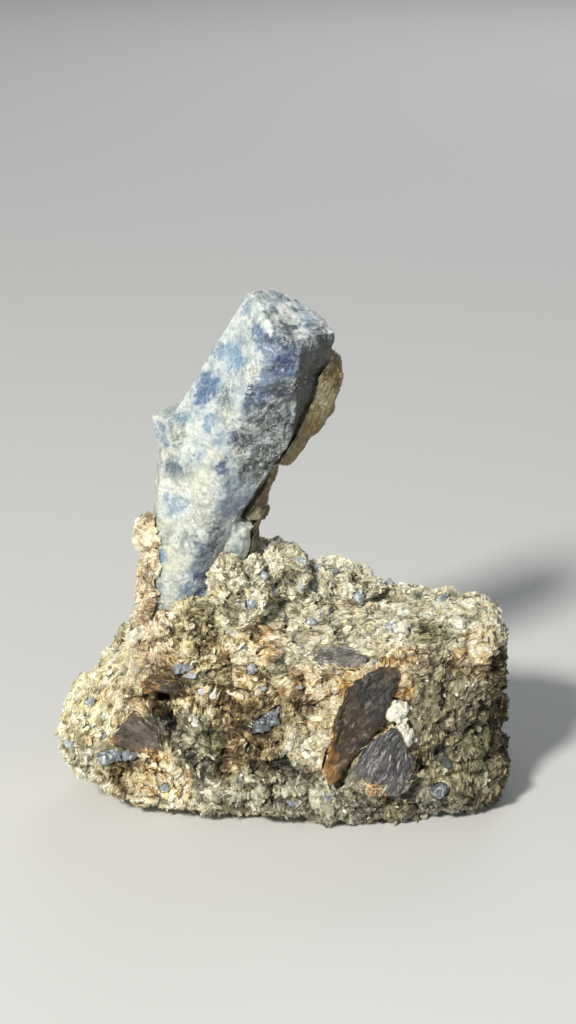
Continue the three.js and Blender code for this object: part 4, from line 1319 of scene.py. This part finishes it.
def crust(name, node, seed, face, band_colour, rim):
    """A thick crust of mica, broken across its sheets: darker rims round paler faces, and painted
    shade on its lower part.
    """
    piece = skin_of(name, solid_of(node), CRUST_FACE)
    mesh = piece.data
    p, out = places(mesh), outward(mesh)
    stack = p @ np.array([0.85, 0.1, -0.5]) + 0.7 * layers(p, 3.0, seed)
    step = stack / 0.7
    terrace = (np.floor(step) + ramp(step - np.floor(step), 0.6, 1.0)) - step
    rise = 0.15 * terrace + 0.35 * facets(p, 2.8, seed + 2) + 0.2 * layers(p, 1.6, seed + 3) - 0.05
    settle(mesh, p + out * rise[:, None])
    middle = (p.max(0) + p.min(0)) / 2
    outer = ramp(out[:, 0] * np.sign(middle[0] + 10), 0.2, 0.75)
    band = np.clip(outer + ramp(layers(p, 2.4, seed + 4), -0.1, 0.5), 0, 1)
    # The lower part is painted darker as shade.
    lowest, highest = p[:, 2].min(), p[:, 2].max()
    low = ramp(-p[:, 2], -(lowest * 0.45 + highest * 0.55), -lowest)
    paint(mesh, "tint", coated(
        blended(face, band_colour, band),
        (rim, ramp(layers(p, 1.5, seed + 5), 0.1, 0.6)),
        ("d9cfb0", 0.3 * ramp(haze(p, 0.7, seed + 6), 0.4, 0.8)),
        ("3c3222", 0.7 * low),
    ))
    paint(mesh, "lie", p @ aligned((0.5, 0, 0.86), (1, 0.2, 0)) + seed)
    paint(mesh, "gloss", ramp(layers(p, 1.0, seed + 7), -0.4, 0.5))
    return piece


crust_right = crust("amber_crust_right", "mica_crust_right", seed=130, face="948e72",
                    band_colour="806c43", rim="574526")
fit(crust_right, "amber_mica", amber, "mica_crust_right")


# ---------------- mica books

# Three books show the whole of these faces, which the rock leaves bare.
BARE = {
    "bronze_book": [
        (16.2, -10.4, 25.3), (15.4, -11.7, 21.0), (14.2, -12.6, 18.0), (12.3, -13.4, 15.5),
        (10.3, -14.1, 13.0), (8.6, -14.0, 11.2), (7.4, -14.2, 9.3), (6.3, -14.5, 8.6),
        (5.7, -14.5, 10.8), (6.6, -14.0, 14.5), (7.3, -13.2, 18.0), (8.0, -12.4, 20.3),
        (9.0, -11.6, 22.6), (11.8, -10.8, 24.4), (14.3, -10.4, 25.3),
    ],
    "dark_book": [
        (15.6, -13.6, 17.2), (16.9, -13.4, 15.0), (18.3, -12.9, 12.0), (18.3, -13.0, 7.3),
        (15.5, -14.1, 6.7), (10.8, -14.5, 7.2), (8.7, -14.5, 8.9), (10.2, -14.4, 12.2),
        (12.4, -14.0, 15.0),
    ],
    "ledge_book": [
        (-21.2, -8.2, 21.7), (-20.1, -8.4, 22.9), (-17.8, -9.0, 23.2), (-15.9, -9.6, 22.6),
        (-15.5, -9.8, 21.7), (-17.2, -9.4, 21.2), (-18.9, -9.1, 21.3), (-20.3, -8.7, 20.6),
    ],
}
PLATE = 1.4    # how thick those books are, in millimetres


def book(name, solid, seed, colours, glint, run):
    """A book of mica sheets: a nearly flat face with fine streaks along its sheets, one
    colour low and left on it, another high and right, and a frayed rim of a third."""
    piece = skin_of(name, solid, BOOK_FACE)
    mesh = piece.data
    p, out = places(mesh), outward(mesh)
    lie = p @ aligned(run, (0.6, -0.3, 0.2))
    drawn = lie * (0.16, 1, 1) + 0.25 * drift(p, 1.2, seed + 6)
    streak = layers(drawn, 0.7, seed, 3)
    rise = 0.1 * layers(p, 2.4, seed + 1) + 0.12 * streak + 0.06 * facets(p, 2.6, seed + 5) + 0.12
    settle(mesh, p + 0.4 * drift(p, 1.3, seed + 12) + out * rise[:, None])
    low, high, rim = colours
    place = (p - p.min(0)) / (p.max(0) - p.min(0))
    upper = 0.5 * place[:, 2] + place[:, 0] + 0.35 * layers(p, 2.0, seed + 2)
    out_at = np.linalg.norm(place[:, [0, 2]] - (0.58, 0.52), axis=1) - 0.15 * (place[:, 0] - 0.5)
    line = ramp(-np.abs(layers(drawn + 0.4 * drift(p, 0.6, seed + 9), 0.9, seed + 8, 3)), -0.09, 0)
    tint = coated(
        blended(low, high, ramp(upper, 0.6, 1.15)),
        (rim, 0.85 * ramp(out_at + 0.25 * layers(p, 1.1, seed + 3), 0.47, 0.66)),
        (glint, 0.6 * line * ramp(haze(p, 1.3, seed + 11), -0.5, 0.3)),
    )
    tint *= (1 + 0.9 * streak + 0.35 * haze(p, 0.35, seed + 7))[:, None]
    paint(mesh, "tint", np.clip(tint, 0.003, 0.8))
    paint(mesh, "lie", lie + seed)
    paint(mesh, "gloss", ramp(layers(p, 1.0, seed + 4), -0.6, 0.4))
    return piece


def sheets(name, body, seed, count, glint, run):
    """Loose sheets lying on a book, overlapping like slates, in the book's own colours
    with a few that catch the light."""
    rng = np.random.default_rng(seed)
    mesh = body.data
    p, tints = places(mesh), read(mesh.attributes["tint"].data, "color", 4)[:, :3].astype(float)
    # The sheets lie along the body's smoothed shape.
    settle(mesh, softened(mesh, p, 15))
    out = outward(mesh)
    settle(mesh, p)
    pick = rng.permutation(len(p))[:count]
    pick = pick[uncovered(p[pick], out[pick], tree_of("matrix_rock"), 1.5)]
    p, out, tints = p[pick], out[pick], tints[pick]
    count = len(p)
    ways = unit(np.array(run) + 0.3 * drift(p, 2.0, seed) + rng.normal(0, 0.2, (count, 3)))
    axes = turned(out, ways, rng.normal(0, 0.06, count))
    length = np.minimum(rng.gamma(4, 0.18, count), 1.2)
    sizes = np.stack([length, length * rng.uniform(0.03, 0.16, count), 0.02 + 0.02 * length], 1)
    bright = rng.random(count) < 0.22
    tints = tints * rng.uniform(0.6, 1.6, count)[:, None]
    shine = rng.uniform(0.1, 0.85, bright.sum())
    tints[bright] = blended(tints[bright], glint, shine)
    sizes[bright] *= (0.7, 0.5, 1)
    shapes = flake_shapes(8, sides=6, seed=seed)
    return one_mesh(name, shapes, rng.integers(0, len(shapes), count),
                    p + out * rng.uniform(-0.02, 0.03, count)[:, None], axes, sizes, tints,
                    rng.beta(2, 2, count))


# Each book: its name, node and slot, its seed, its colours low, high and at the rim, how
# many loose sheets lie on it, their brightest colour, and the way that they run.
for name, node, slot, seed, colours, count, glint, run in (
    ("bronze_book", "mica_book_bronze", "bronze_mica", 200, ("3b2a17", "262523", "8f6632"), 700,
     "857656", (0.5, 0, 0.85)),
    ("dark_book", "mica_book_dark", "dark_mica", 210, ("5a5757", "454346", "8c8673"), 1500,
     "d6d6ce", (0.5, 0, 0.85)),
    ("left_book", "mica_book_left", "dark_mica", 220, ("5c5148", "6b6056", "8a6a44"), 300,
     "a39884", (1, 0, -0.4)),
    ("ledge_book", "mica_book_ledge", "bronze_mica", 230, ("3a2c1c", "2e2519", "a87a3c"), 300,
     "c09a58", (1, 0, 0)),
    ("top_book", "mica_book_top", "dark_mica", 240, ("6a6660", "77746e", "a89c7c"), 500,
     "cfcabb", (1, 0, -0.3)),
    ("back_book", "mica_book_back", "dark_mica", 250, ("463f39", "5a5048", "94703c"), 400,
     "a39884", (1, 0, 1)),
):
    solid = plate_of(BARE[name], PLATE) if name in BARE else solid_of(node)
    body = fit(book(name, solid, seed, colours, glint, run), slot, sheeny, node)
    fit(sheets(name + "_sheets", body, seed, count, glint, run), slot, sheeny)
made = sheets("amber_sheets", crust_right, seed=135, count=500, glint="b09c70", run=(0.5, 0, 0.86))
fit(made, "amber_mica", amber)


# ---------------- small crystals

def small_crystal(name, node, seed, low, high, rim, facet=1.1):
    """One small set crystal or grain: chipped facets, clouds of two colours and paler
    spots of a third."""
    piece = skin_of(name, solid_of(node), GRAIN_FACE)
    mesh = piece.data
    p, out = places(mesh), outward(mesh)
    rise = 0.8 * facets(p, facet, seed) + 0.25 * layers(p, 0.9, seed + 1)
    rise += 0.06 * haze(p, 0.4, seed + 5)
    settle(mesh, p + out * rise[:, None])
    paint(mesh, "tint", greyed(coated(
        blended(low, high, ramp(layers(p, 0.9, seed + 2), -0.4, 0.5)),
        (rim, ramp(haze(p, 0.45, seed + 3), 0.15, 0.7)),
    )))
    paint(mesh, "gloss", ramp(layers(p, 0.7, seed + 4), -0.6, 0.5))
    return piece


for node in sorted(frame["nodes"]):
    seed = 300 + sum(map(ord, node))
    if node.startswith(("sapphire_grain", "sapphire_prism", "sapphire_sliver")):
        name = node.replace("sapphire_", "blue_")
        if node in ("sapphire_grain_12", "sapphire_sliver"):
            colours = ("3a434a", "68747a", "9aa4a6")
        elif node.startswith("sapphire_prism"):
            colours = ("5a6670", "87929c", "bcc3c4")
        else:
            colours = ("75828e", "a3aeb6", "dadfe0")
        fit(small_crystal(name, node, seed, *colours), "blue_corundum", corundum, node)
    elif node.startswith("feldspar"):
        name = node.replace("feldspar_", "white_")
        made = small_crystal(name, node, seed, "c9c3a8", "e4dfca", "f2efe2", facet=1.5)
        fit(made, "feldspar", corundum, node)


# ---------------- the rock's skin

rock, grown = rock_skin("schist_body", filled_rock(), depth=1.0)
for piece in mica_felt("mica", rock, grown, plates=6000, slivers=3 * SLIVERS_EACH):
    fit(piece, "schist", flaky)
fit(rim_slivers([name for name in bpy.data.objects.keys() if name.endswith("_book")],
                "schist_body", most=9000), "schist", flaky)
crust_left, grown_left = rock_skin("amber_crust_left", solid_of("mica_crust_left"), depth=0.8)
for piece in mica_felt("crust", crust_left, grown_left, plates=300, slivers=4500):
    fit(piece, "amber_mica", flaky)
fit(crust_left, "amber_mica", schist, "mica_crust_left")
fit(pebbles(rock), "blue_corundum", corundum)
fit(specks("blue_specks", rock, 260, (0.12, 0.6),
           ["8f999f", "76828a", "aab3b6", "5c666c", "c3c9c8"], in_zones("felt", "cream"), seed=81),
    "blue_corundum", corundum)
fit(specks("white_specks", rock, 700, (0.12, 0.5), ["e9e4d2", "d9d2bc", "f3f0e4", "c9c2a8"],
           in_zones("felt", "silver", "gold", "cream", "dusk"), seed=82),
    "feldspar", corundum)
near_feldspar = tree_of(*(n for n in frame["nodes"] if n.startswith("feldspar")))
fit(specks("feldspar_crumbs", rock, 900, (0.12, 0.5), ["e9e7db", "dcd9ca", "f6f4ea", "cbc8b8"],
           lambda p: 1.2 - 0.8 * clearance(p, near_feldspar, 1.6), seed=86),
    "feldspar", corundum)
for piece in divided(rock, grown["middles"], count=4):
    fit(piece, "schist", schist, "matrix_rock")


# ---------------- stage

bm = bmesh.new()
bmesh.ops.create_grid(bm, x_segments=2, y_segments=2, size=2.0)
floor = linked("studio_floor", mesh_of(bm, "studio_floor"))
floor.data.materials.append(
    Finish("studio floor").set(Base_Color=(0.74, 0.74, 0.73, 1), Roughness=0.9))

# Each lamp's place and width in metres, its power in watts and its colour.
for name, place, width, power, colour in (
    ("key", (-0.37, -0.65, 0.60), 0.14, 9.8, (1.0, 0.97, 0.9)),
    ("fill", (0.6, -0.7, 0.35), 0.5, 0.7, (0.9, 0.95, 1.0)),
    ("back", (0.2, 0.8, 0.5), 0.6, 1.5, (1, 1, 1)),
):
    data = bpy.data.lights.new(name, "AREA")
    data.shape, data.size, data.energy, data.color = "DISK", width, power, colour
    light = linked(name, data)
    light.location = Vector(place)
    light.rotation_euler = (AIM - Vector(place)).to_track_quat("-Z", "Y").to_euler()

world = bpy.data.worlds.new("studio")
world.use_nodes = True
sky = world.node_tree.nodes["Background"].inputs
sky["Color"].default_value = (0.8, 0.85, 0.9, 1)
sky["Strength"].default_value = 0.22
bpy.context.scene.world = world
bpy.context.scene.view_settings.view_transform = "Standard"
